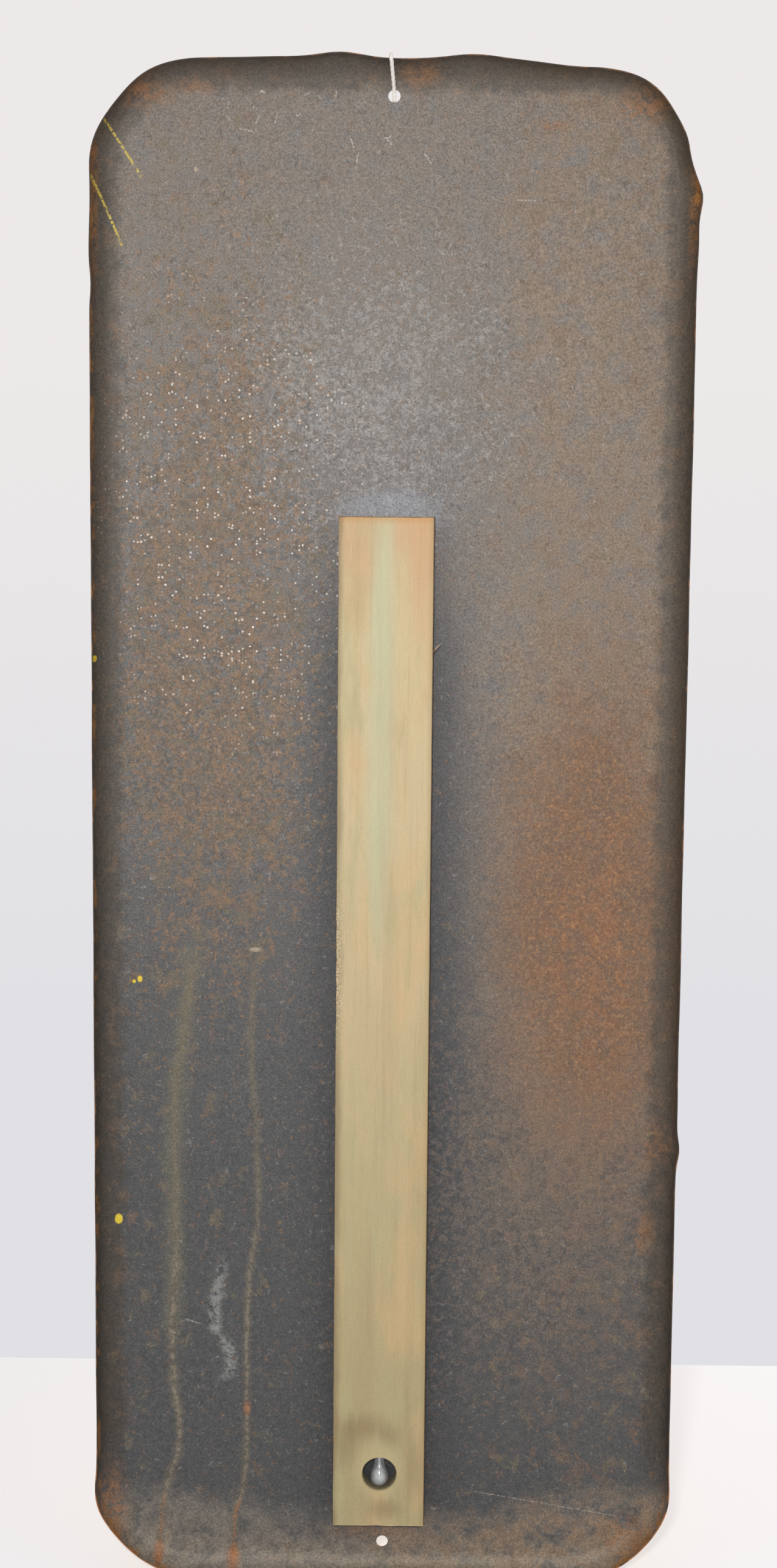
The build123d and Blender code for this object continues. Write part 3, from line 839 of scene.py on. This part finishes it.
def twisted(name, places, width, frayed=False):
    """A three-ply string along places."""
    walked = [0.0]
    for before, after in zip(places, places[1:]):
        walked.append(walked[-1] + (after - before).length)
    total = walked[-1]

    def radius(i):
        spread = 1.0
        if frayed:
            spread += 0.35 * ease(walked[i], total - 1.8, total)
        return 1.08 * width / 2 * spread * (1 + 0.04 * noise(Vector((walked[i] * 1.3, 7.0, 0.0))))

    def turn(i):
        return 2 * pi * walked[i] / PLY_TWIST

    points, faces = ring_tube(places, radius, turn, sides=18, lobes=PLIES, lobe_depth=0.22)
    piece = mesh_object(name, points, faces, COTTON, sharp=70)
    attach(piece, FIXED)
    return piece, total


def finer(places, gap=0.3):
    """The same line with places about gap apart."""
    result = [places[0]]
    for before, after in zip(places, places[1:]):
        parts = max(1, ceil((after - before).length / gap))
        for k in range(1, parts + 1):
            result.append(before.lerp(after, k / parts))
    return result


def make_string():
    line = finer(nurbs_line("string_route", string_route(), steps=24))
    string, length = twisted("string_loop", line, STRING_WIDTH)
    middle = (knot_low + knot_high) / 2
    wide = (knot_high.x - knot_low.x) / 2 - STRING_WIDTH / 2
    tall = (knot_high.z - knot_low.z) / 2 - STRING_WIDTH / 2
    turns = []
    for k in range(49):
        angle = 2 * pi * k / 48
        turns.append(middle + Vector((
            wide * sin(2 * angle) * 0.95,
            wide * 0.72 * cos(3 * angle),
            tall * cos(angle) + 0.25 * tall * cos(2 * angle),
        )))
    knot, _ = twisted("string_knot_turns", finer(turns), STRING_WIDTH)
    low = mm_box("string_tails")[0].z
    for side, bend in ((-1, 0.9), (1, 0.5)):
        x = middle.x + side * (STRING_WIDTH + STRING_LIFT) / 2
        tail_points = [
            (x, middle.y, knot_low.z + 0.8),
            (x, middle.y, knot_low.z - 1.5),
            (x + side * 0.4, middle.y - 0.3 * bend, knot_low.z - 4.0),
            (x + side * bend, middle.y - 0.8 * bend, low + 0.3),
        ]
        tail, _ = twisted("string_tail_left" if side < 0 else "string_tail_right",
                          finer(nurbs_line("tail", tail_points)), STRING_WIDTH, frayed=True)
    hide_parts("hanging_string")
    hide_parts("string_knot")
    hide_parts("string_tails")


make_string()


# Panel: one skin for the printed face and one for the wall side, joined at every edge

# Dents in the rim, in millimetres: x, z, push outwards, reach along the rim
DENTS = [
    (-22, 330, 2.6, 13),
    (33, 330, 2.0, 14),
    (-48, 330, 0.6, 14),
    (72, 330, -1.6, 16),
    (92, 330, -2.2, 18),
    (120, 308, -2.9, 16),
    (127, 291, -2.2, 9),
    (127, 275, 1.9, 7),
    (127, 256, 0.4, 10),
    (127, -132, 1.3, 6),
    (125, -297, 1.1, 12),
    (-126, -297, 1.6, 12),
    (-127, 238, -0.7, 7),
    (-127, 275, -0.5, 14),
    (-117, 314, -1.8, 16),
    (-90, 330, -0.5, 12),
]
RIM_STEP = 3.0
GRID_STEP = 4.0
CORNER_STEPS = 24
ROLL_STEPS = 10


def rim_anchors():
    """Round the panel: the arc centre or inner edge point for each place, and its outward direction."""
    across = HALF_WIDTH - CORNER
    along = HALF_HEIGHT - CORNER
    anchors = []
    corners = [(across, along, 0), (-across, along, 90), (-across, -along, 180), (across, -along, 270)]
    for number, (x, z, start) in enumerate(corners):
        for k in range(CORNER_STEPS + 1):
            angle = radians(start + 90 * k / CORNER_STEPS)
            anchors.append((x, z, cos(angle), sin(angle)))
        next_x, next_z, _ = corners[(number + 1) % 4]
        angle = radians(start + 90)
        steps = ceil(hypot(next_x - x, next_z - z) / RIM_STEP)
        for k in range(1, steps):
            share = k / steps
            anchors.append((x + (next_x - x) * share, z + (next_z - z) * share, cos(angle), sin(angle)))
    return anchors


def dent(x, z):
    """How far the rim is pushed out at this place of the outline."""
    push = 0.25 * noise(Vector((x * 0.03, z * 0.03, 4.0)))
    for at_x, at_z, depth, reach in DENTS:
        push += depth * exp(-(((x - at_x) ** 2 + (z - at_z) ** 2) / reach**2))
    return push


def wave(x, z):
    """How far the flat sheet is bowed towards the printed face."""
    if z < strip_high.z + 12:
        from_strip = ease(abs(x - TUBE_X), 24, 60)
    else:
        from_strip = ease(z, strip_high.z + 10, strip_high.z + 60)
    from_rim = ease(HALF_WIDTH - abs(x), 10, 34) * ease(HALF_HEIGHT - abs(z), 20, 50)
    soft = noise(Vector((x * 0.014, z * 0.011, 1.0))) + 0.4 * noise(Vector((x * 0.035, z * 0.03, 9.0)))
    return 0.55 * from_strip * from_rim * soft


def circle(x, z, radius, count):
    angles = [2 * pi * k / count for k in range(count)]
    return [(x + radius * cos(angle), z + radius * sin(angle)) for angle in angles]


def window_outline():
    """The slot in front of the tube."""
    radius = WINDOW_WIDTH / 2
    points = []
    for middle, start in ((WINDOW_TOP - radius, 0), (WINDOW_BOTTOM + radius, 180)):
        for k in range(13):
            angle = radians(start + 15 * k)
            points.append((TUBE_X + radius * cos(angle), middle + radius * sin(angle)))
    steps = ceil((WINDOW_TOP - WINDOW_BOTTOM) / GRID_STEP)

    def side(start, end):
        return [(start[0], start[1] + (end[1] - start[1]) * k / steps) for k in range(1, steps)]

    return points[:13] + side(points[12], points[13]) + points[13:] + side(points[25], points[0])


def inside_loop(x, z, loop):
    """True if the point is inside the closed loop of (x, z) points."""
    odd = False
    for (x1, z1), (x2, z2) in zip(loop, loop[1:] + loop[:1]):
        if (z1 > z) != (z2 > z) and x < x1 + (z - z1) * (x2 - x1) / (z2 - z1):
            odd = not odd
    return odd


def make_panel():
    anchors = rim_anchors()
    count = len(anchors)
    rings = [(0.0, 0.0), (0.0, LIP)]
    for k in range(1, ROLL_STEPS + 1):
        angle = pi / 2 * k / ROLL_STEPS
        rings.append((ROLL * (1 - cos(angle)), LIP + ROLL * sin(angle)))
    front = []   # outer skin
    back = []    # inner skin
    for number, (inset, y) in enumerate(rings):
        slope = 0.0 if number < 2 else pi / 2 * (number - 1) / ROLL_STEPS
        hold = (1 - inset / ROLL) ** 1.3
        for x, z, out_x, out_z in anchors:
            lip_x = x + out_x * CORNER
            lip_z = z + out_z * CORNER
            push = dent(lip_x, lip_z) * hold
            ripple = 0.35 * hold * noise(Vector((lip_x * 0.05, lip_z * 0.05, 2.0)))
            reach = CORNER - inset + push
            front.append((x + out_x * reach, y + ripple, z + out_z * reach))
            inner = reach - SHEET * cos(slope)
            back.append((x + out_x * inner, y + ripple - SHEET * sin(slope), z + out_z * inner))
    # The flat: triangles between the roll, the holes and a grid of inner points
    flat = [(x + out_x * (CORNER - ROLL), z + out_z * (CORNER - ROLL)) for x, z, out_x, out_z in anchors]
    loops = [flat, circle(0, NAIL_Z, NAIL_RADIUS, 32), circle(0, -NAIL_Z, NAIL_RADIUS, 32), window_outline()]
    places = []
    edges = []
    for loop in loops:
        start = len(places)
        places += [Vector(p) for p in loop]
        edges += [(start + k, start + (k + 1) % len(loop)) for k in range(len(loop))]
    for row in range(-90, 91):
        for column in range(-34, 35):
            x = (column + 0.5 * (row % 2)) * GRID_STEP
            z = row * GRID_STEP
            across = max(abs(x) - (HALF_WIDTH - CORNER), 0)
            along = max(abs(z) - (HALF_HEIGHT - CORNER), 0)
            in_flat = abs(x) < HALF_WIDTH - ROLL - 2.2 and abs(z) < HALF_HEIGHT - ROLL - 2.2
            in_corner = hypot(across, along) < CORNER - ROLL - 2.2
            near_slot = abs(x - TUBE_X) < WINDOW_WIDTH / 2 + 1.6 and WINDOW_BOTTOM - 2 < z < WINDOW_TOP + 2
            near_nail = hypot(x, abs(z) - NAIL_Z) < NAIL_RADIUS + 1.6
            if in_flat and in_corner and not near_slot and not near_nail:
                places.append(Vector((x, z)))
    spots, _, triangles, _, _, _ = delaunay_2d_cdt(places, edges, [], 0, 1e-5)
    kept = []
    for triangle in triangles:
        x = sum(spots[i].x for i in triangle) / 3
        z = sum(spots[i].y for i in triangle) / 3
        if inside_loop(x, z, loops[0]) and not any(inside_loop(x, z, loop) for loop in loops[1:]):
            kept.append(triangle)
    # The first loop is the roll's last ring, so its points are shared
    last_ring = (len(rings) - 1) * count
    number_of = {}
    for i, spot in enumerate(spots):
        if i < count:
            number_of[i] = last_ring + i
            continue
        number_of[i] = len(front)
        bow = wave(spot.x, spot.y)
        front.append((spot.x, DEPTH + bow, spot.y))
        back.append((spot.x, DEPTH - SHEET + bow, spot.y))
    faces = []
    for ring in range(len(rings) - 1):
        for k in range(count):
            a = ring * count + k
            b = ring * count + (k + 1) % count
            faces.append((a, b, b + count, a + count))
    for triangle in kept:
        faces.append(tuple(number_of[i] for i in triangle))
    total = len(front)
    # Turn the printed side's faces outwards, towards +Y
    def looks_to_front(face):
        a, b, c = (Vector(front[i]) for i in face[:3])
        normal = (b - a).cross(c - a)
        outward = Vector((0, 1, 0))
        middle = (a + b + c) / 3
        if middle.y < DEPTH - 0.3 * ROLL:
            anchor = Vector((clamp(middle.x, CORNER - HALF_WIDTH, HALF_WIDTH - CORNER), middle.y,
                             clamp(middle.z, CORNER - HALF_HEIGHT, HALF_HEIGHT - CORNER)))
            outward = middle - anchor
        return normal.dot(outward) > 0
    outer = [face if looks_to_front(face) else tuple(reversed(face)) for face in faces]
    inner = [tuple(i + total for i in reversed(face)) for face in outer]
    used = {}
    for face in outer:
        for a, b in zip(face, face[1:] + face[:1]):
            used[(a, b)] = used.get((a, b), 0) + 1
    rims = [(b, a, a + total, b + total) for a, b in used if (b, a) not in used]
    panel = mesh_object("pressed_panel", front + back, outer + inner + rims, sharp=50)
    for material in (ENAMEL, STEEL, EDGE):
        panel.data.materials.append(material)
    for number, polygon in enumerate(panel.data.polygons):
        polygon.material_index = 0 if number < len(outer) else 1 if number < len(outer) + len(inner) else 2
    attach(panel, FIXED)
    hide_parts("panel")


make_panel()


# Wooden strip

def grid_block(low, high, steps, shape):
    """A closed block of grid faces, with shape(point) giving each point's final place."""
    points = []
    index = {}
    faces = []

    def point(i, j, k):
        key = (i, j, k)
        if key not in index:
            index[key] = len(points)
            place = Vector((
                low.x + (high.x - low.x) * i / steps[0],
                low.y + (high.y - low.y) * j / steps[1],
                low.z + (high.z - low.z) * k / steps[2],
            ))
            points.append(shape(place))
        return index[key]

    nx, ny, nz = steps
    for i in range(nx):
        for k in range(nz):
            faces.append((point(i, 0, k), point(i + 1, 0, k), point(i + 1, 0, k + 1), point(i, 0, k + 1)))
            faces.append((point(i, ny, k), point(i, ny, k + 1), point(i + 1, ny, k + 1), point(i + 1, ny, k)))
    for j in range(ny):
        for k in range(nz):
            faces.append((point(0, j, k), point(0, j, k + 1), point(0, j + 1, k + 1), point(0, j + 1, k)))
            faces.append((point(nx, j, k), point(nx, j + 1, k), point(nx, j + 1, k + 1), point(nx, j, k + 1)))
    for i in range(nx):
        for j in range(ny):
            faces.append((point(i, j, 0), point(i, j + 1, 0), point(i + 1, j + 1, 0), point(i + 1, j, 0)))
            faces.append((point(i, j, nz), point(i + 1, j, nz), point(i + 1, j + 1, nz), point(i, j + 1, nz)))
    return points, faces


def worn(place):
    """Rounds the strip's back edges a little and makes its sawn ends and sides uneven."""
    x, y, z = place
    centre = (strip_low.x + strip_high.x) / 2
    half = (strip_high.x - strip_low.x) / 2
    side = abs(x - centre) / half
    sign = 1 if x > centre else -1
    if side > 0.99:
        x -= sign * (0.14 + 0.16 * noise(Vector((z * 0.05, sign * 3.0, y * 0.1))))
        if sign < 0:
            bruised = exp(-(((z + 52) / 34) ** 2))
            x += 1.1 * bruised * max(0.0, noise(Vector((z * 0.19, 8.0, y * 0.2))))
        if y < 0.01:
            x -= sign * 0.22 * (1 + 0.7 * noise(Vector((z * 0.22, sign * 5.0, 0.0))))
    ends = min(z - strip_low.z, strip_high.z - z)
    if ends < 0.01:
        up = 1 if z > 0 else -1
        z -= up * (0.18 + 0.22 * noise(Vector((x * 0.16, up * 2.0, y * 0.3))))
        if y < 0.01:
            z -= up * 0.2
    return Vector((x, y, z))


def cut_away(target, cutter):
    """Takes the cutter's space out of the target for good."""
    modifier = target.modifiers.new("cut", "BOOLEAN")
    modifier.operation = "DIFFERENCE"
    modifier.solver = "EXACT"
    modifier.object = cutter
    depsgraph = bpy.context.evaluated_depsgraph_get()
    made = bpy.data.meshes.new_from_object(target.evaluated_get(depsgraph))
    target.modifiers.clear()
    target.data = made
    mesh = cutter.data
    bpy.data.objects.remove(cutter)
    bpy.data.meshes.remove(mesh)


def box_cutter(low, high):
    points, faces = grid_block(Vector(low), Vector(high), (1, 1, 1), lambda place: place)
    return mesh_object("cutter", points, faces, smooth=False)


def bore_cutter():
    """The bulb's bore, its mouth broken by wear."""
    widening = ((-1.0, 0.9), (0.0, 0.35), (0.5, 0.05), (1.2, 0.0), (11.0, 0.0))  # depth, and past the radius
    profile = [(y, BORE_RADIUS + wider) for y, wider in widening]
    sides = 72
    points = []
    faces = []
    for y, radius in profile:
        for k in range(sides):
            angle = 2 * pi * k / sides
            ragged = radius
            if y < 1:
                ragged += 0.22 * noise(Vector((3 * cos(angle), 3 * sin(angle), 6.0)))
            points.append((TUBE_X + ragged * cos(angle), y, BORE_Z + ragged * sin(angle)))
    for ring in range(len(profile) - 1):
        for k in range(sides):
            a = ring * sides + k
            b = ring * sides + (k + 1) % sides
            faces.append((a, a + sides, b + sides, b))
    faces.append(tuple(range(sides)))
    faces.append(tuple(reversed(range((len(profile) - 1) * sides, len(profile) * sides))))
    return mesh_object("cutter", points, faces, smooth=False)


PAST_FACE = 12  # where the cutters end, in front of the strip


def make_strip():
    points, faces = grid_block(strip_low, strip_high, (14, 3, 150), worn)
    strip = mesh_object("wood_strip", points, faces, smooth=False)
    groove = STEM_RADIUS + 0.3
    groove_low = (TUBE_X - groove, TUBE_Y - groove, BORE_Z)
    groove_high = (TUBE_X + groove, PAST_FACE, tube_high.z + 0.3)
    cut_away(strip, box_cutter(groove_low, groove_high))
    for number in range(1, 5):
        low, high = mm_box(f"tube_staple_{number}")
        notch_low = (low.x - 0.2, high.y - 1.6, low.z - 0.2)
        notch_high = (high.x + 0.2, PAST_FACE, high.z + 0.2)
        cut_away(strip, box_cutter(notch_low, notch_high))
    cut_away(strip, bore_cutter())
    strip.data.shade_smooth()
    strip.data.set_sharp_from_angle(angle=radians(35))
    strip.data.materials.clear()
    strip.data.materials.append(WOOD)
    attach(strip, FIXED)
    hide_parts("backing_strip")
    # A splinter that stands off the right edge
    root = Vector((strip_high.x - 1.2, 0.6, 83.6))
    tip = Vector((strip_high.x + 3.8, -0.6, 89.0))
    line = [root.lerp(tip, k / 8) + Vector((0, 0, 0.5 * sin(pi * k / 8))) for k in range(9)]
    points, faces = ring_tube(line, lambda i: 0.55 * (1 - i / 8.6), sides=7, lobes=2, lobe_depth=0.5)
    splinter = mesh_object("wood_splinter", points, faces, WOOD)
    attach(splinter, FIXED)


make_strip()


# Tube: white line behind the bore, and the mercury column

WHITE_LINE_OUTER = 1.62
WHITE_LINE_INNER = 1.42
WHITE_LINE_ARC = 12   # faces across it
WHITE_LINE_ROWS = 24  # faces along it
THREAD_STEPS = 160


def make_tube_parts():
    bottom = column_low.z - 2.0
    top = tube_high.z - 3.5
    points = []
    faces = []
    arc = WHITE_LINE_ARC
    rows = WHITE_LINE_ROWS
    for row in range(rows + 1):
        z = bottom + (top - bottom) * row / rows
        for radius in (WHITE_LINE_OUTER, WHITE_LINE_INNER):
            for k in range(arc + 1):
                angle = pi + pi * (0.08 + 0.84 * k / arc)
                points.append((TUBE_X + radius * cos(angle), TUBE_Y + radius * sin(angle), z))
    ring = 2 * (arc + 1)
    for row in range(rows):
        for k in range(arc):
            a = row * ring + k
            faces.append((a, a + 1, a + 1 + ring, a + ring))
            b = a + arc + 1
            faces.append((b + 1, b, b + ring, b + 1 + ring))
        for k, flip in ((0, False), (arc, True)):
            a = row * ring + k
            b = a + arc + 1
            face = (a, a + ring, b + ring, b)
            faces.append(tuple(reversed(face)) if flip else face)
    for row, flip in ((0, True), (rows, False)):
        for k in range(arc):
            a = row * ring + k
            b = a + arc + 1
            face = (a, a + 1, b + 1, b)
            faces.append(tuple(reversed(face)) if flip else face)
    backing = mesh_object("stem_white_line", points, faces, MILK)
    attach(backing, FIXED)

    radius = (column_high.x - column_low.x) / 2
    start = column_low.z - 1.6
    rise = column_high.z - start
    line = [Vector((TUBE_X, TUBE_Y, start + rise * k / THREAD_STEPS)) for k in range(THREAD_STEPS + 1)]
    points, faces = ring_tube(line, lambda i: radius, sides=16)
    column = mesh_object("mercury_thread", points, faces, THREAD)
    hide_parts("mercury_column")
    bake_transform(column)


make_tube_parts()


# Marks and numbers of the scale

INK_RISE = 0.12
NUMBER_HEIGHT = 13.0
NUMBER_OFFSET = 37  # from the tube to a number's middle
MARK_GAP = 1.8      # from the window to a mark


def make_marks():
    """A mark for every second degree, longer at 10 and longest at 20, on both sides of the window."""
    points = []
    faces = []
    for reading in range(SCALE_LOW, SCALE_HIGH + 1, 2):
        z = SCALE_BOTTOM + (reading - SCALE_LOW) * DEGREE
        if reading % 20 == 0:
            length, thick = 15.0, 1.0
        elif reading % 10 == 0:
            length, thick = 11.0, 0.8
        else:
            length, thick = 6.5, 0.5
        for side in (-1, 1):
            near = TUBE_X + side * (WINDOW_WIDTH / 2 + MARK_GAP)
            far = near + side * length
            low, high = min(near, far), max(near, far)
            base = len(points)
            inset = 0.06
            for y, shrink in ((DEPTH - 0.1, 0.0), (DEPTH + INK_RISE * 0.6, 0.0), (DEPTH + INK_RISE, inset)):
                points += [
                    (low + shrink, y, z - thick / 2 + shrink), (high - shrink, y, z - thick / 2 + shrink),
                    (high - shrink, y, z + thick / 2 - shrink), (low + shrink, y, z + thick / 2 - shrink),
                ]
            for level in range(2):
                for k in range(4):
                    a = base + 4 * level + k
                    b = base + 4 * level + (k + 1) % 4
                    faces.append((b, a, a + 4, b + 4))
            faces.append((base, base + 1, base + 2, base + 3))
            faces.append((base + 11, base + 10, base + 9, base + 8))
    points = [(x, y + wave(x, z), z) for x, y, z in points]
    marks = mesh_object("scale_marks", points, faces, INK, smooth=False)
    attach(marks, FIXED)


def make_numbers():
    """Plain numbers beside the longest marks, one mesh for each side."""
    for side, name in ((-1, "scale_numbers_left"), (1, "scale_numbers_right")):
        made = []
        for reading in range(SCALE_LOW, SCALE_HIGH + 1, 20):
            data = bpy.data.curves.new(name, "FONT")
            data.body = str(reading).replace("-", "−") if reading < 0 else str(reading)
            data.size = NUMBER_HEIGHT * 1.4 * MM
            data.extrude = INK_RISE * MM / 2
            data.bevel_depth = 0.02 * MM
            data.align_x = "CENTER"
            data.align_y = "CENTER"
            text = bpy.data.objects.new(name, data)
            bpy.context.collection.objects.link(text)
            z = SCALE_BOTTOM + (reading - SCALE_LOW) * DEGREE
            text.location = Vector((TUBE_X - side * NUMBER_OFFSET, DEPTH + INK_RISE / 2, z)) * MM
            text.rotation_euler = (radians(90), 0, radians(180))
            bpy.context.view_layer.update()
            mesh = bpy.data.meshes.new_from_object(text.evaluated_get(bpy.context.evaluated_depsgraph_get()))
            mesh.transform(text.matrix_world)
            for vertex in mesh.vertices:
                vertex.co.y += wave(vertex.co.x / MM, vertex.co.z / MM) * MM
            made.append(mesh)
            bpy.data.objects.remove(text)
            bpy.data.curves.remove(data)
        joined = bmesh.new()
        for mesh in made:
            joined.from_mesh(mesh)
            bpy.data.meshes.remove(mesh)
        bmesh.ops.remove_doubles(joined, verts=joined.verts, dist=1e-7)
        bmesh.ops.recalc_face_normals(joined, faces=joined.faces)
        whole = bpy.data.meshes.new(name)
        joined.to_mesh(whole)
        joined.free()
        whole.materials.append(INK)
        piece = bpy.data.objects.new(name, whole)
        bpy.context.collection.objects.link(piece)
        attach(piece, FIXED)


make_marks()
make_numbers()


# Materials of the CAD nodes that stay

def dress(node, material):
    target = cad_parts[node]
    target.data.materials.clear()
    target.data.materials.append(material)


dress("glass_tube", GLASS)
dress("bulb_mercury", MERCURY)
dress("mercury_top", THREAD)
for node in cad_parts:
    if node.startswith("tube_staple"):
        dress(node, WIRE)
    if node.startswith("strip_brad"):
        dress(node, BRAD)


# Table, light and surroundings

def table_material():
    g = Graph("table")
    fine = g.noise(1.2, detail=3, seed=71.0)
    colour = g.mix(fine, srgb(232, 232, 236), srgb(238, 238, 242))
    return g.finish(colour, 0.7, 0.0, g.bump(fine, 0.02))


TABLE_GAP = 2.5      # between the panel's lower edge and the table
TABLE_REACH = 2500
TABLE_FAR = 277.0    # where the table ends behind the object
TABLE_THICK = 40


def make_table():
    """A pale table top: its far edge lies a little behind the thermometer."""
    top = -HALF_HEIGHT - TABLE_GAP
    points = [
        (-TABLE_REACH, -TABLE_REACH, top), (TABLE_REACH, -TABLE_REACH, top),
        (TABLE_REACH, TABLE_FAR, top), (-TABLE_REACH, TABLE_FAR, top),
    ]
    drop = [(x, y, top - TABLE_THICK) for x, y, _ in points]
    faces = [(0, 1, 2, 3), (7, 6, 5, 4)] + [(k, k + 4, (k + 1) % 4 + 4, (k + 1) % 4) for k in range(4)]
    table = mesh_object("table_top", points + drop, faces, table_material(), smooth=False)


def area_light(name, place, target, size, power, colour):
    data = bpy.data.lights.new(name, "AREA")
    data.shape = "DISK"
    data.size = size
    data.energy = power
    data.color = colour
    lamp = bpy.data.objects.new(name, data)
    lamp.location = place
    direction = Vector(target) - Vector(place)
    lamp.rotation_euler = direction.to_track_quat("-Z", "Y").to_euler()
    bpy.context.collection.objects.link(lamp)


def make_light():
    """A bright room behind the object, a dimmer one before it, and a small lamp on each side."""
    world = bpy.data.worlds.new("surroundings")
    world.use_nodes = True
    nodes = world.node_tree.nodes
    links = world.node_tree.links
    coordinates = nodes.new("ShaderNodeTexCoord")
    split = nodes.new("ShaderNodeSeparateXYZ")
    share = nodes.new("ShaderNodeMapRange")
    share.inputs["From Min"].default_value = -0.35
    share.inputs["From Max"].default_value = 0.35
    colour = nodes.new("ShaderNodeMix")
    colour.data_type = "RGBA"
    colour.inputs[6].default_value = srgb(196, 195, 194)
    colour.inputs[7].default_value = srgb(236, 233, 232)
    links.new(coordinates.outputs["Generated"], split.inputs[0])
    links.new(split.outputs["Y"], share.inputs["Value"])
    links.new(share.outputs[0], colour.inputs[0])
    lower = nodes.new("ShaderNodeMapRange")
    lower.inputs["From Min"].default_value = 0.05
    lower.inputs["From Max"].default_value = -0.22
    cooler = nodes.new("ShaderNodeMix")
    cooler.data_type = "RGBA"
    cooler.blend_type = "MULTIPLY"
    cooler.inputs[7].default_value = srgb(243, 245, 251)
    links.new(split.outputs["Z"], lower.inputs["Value"])
    links.new(lower.outputs[0], cooler.inputs[0])
    links.new(colour.outputs[2], cooler.inputs[6])
    links.new(cooler.outputs[2], nodes["Background"].inputs["Color"])
    nodes["Background"].inputs["Strength"].default_value = 1.0
    bpy.context.scene.world = world
    area_light("key", (-0.045, -1.06, 0.24), (0, 0, 0.02), 0.07, 5.3, (1.0, 0.985, 0.96))
    area_light("front_key", (0.6, 1.5, 0.9), (0, 0, 0), 0.6, 14.0, (1.0, 0.98, 0.96))


make_table()
make_light()
bpy.context.scene.view_settings.view_transform = "Standard"
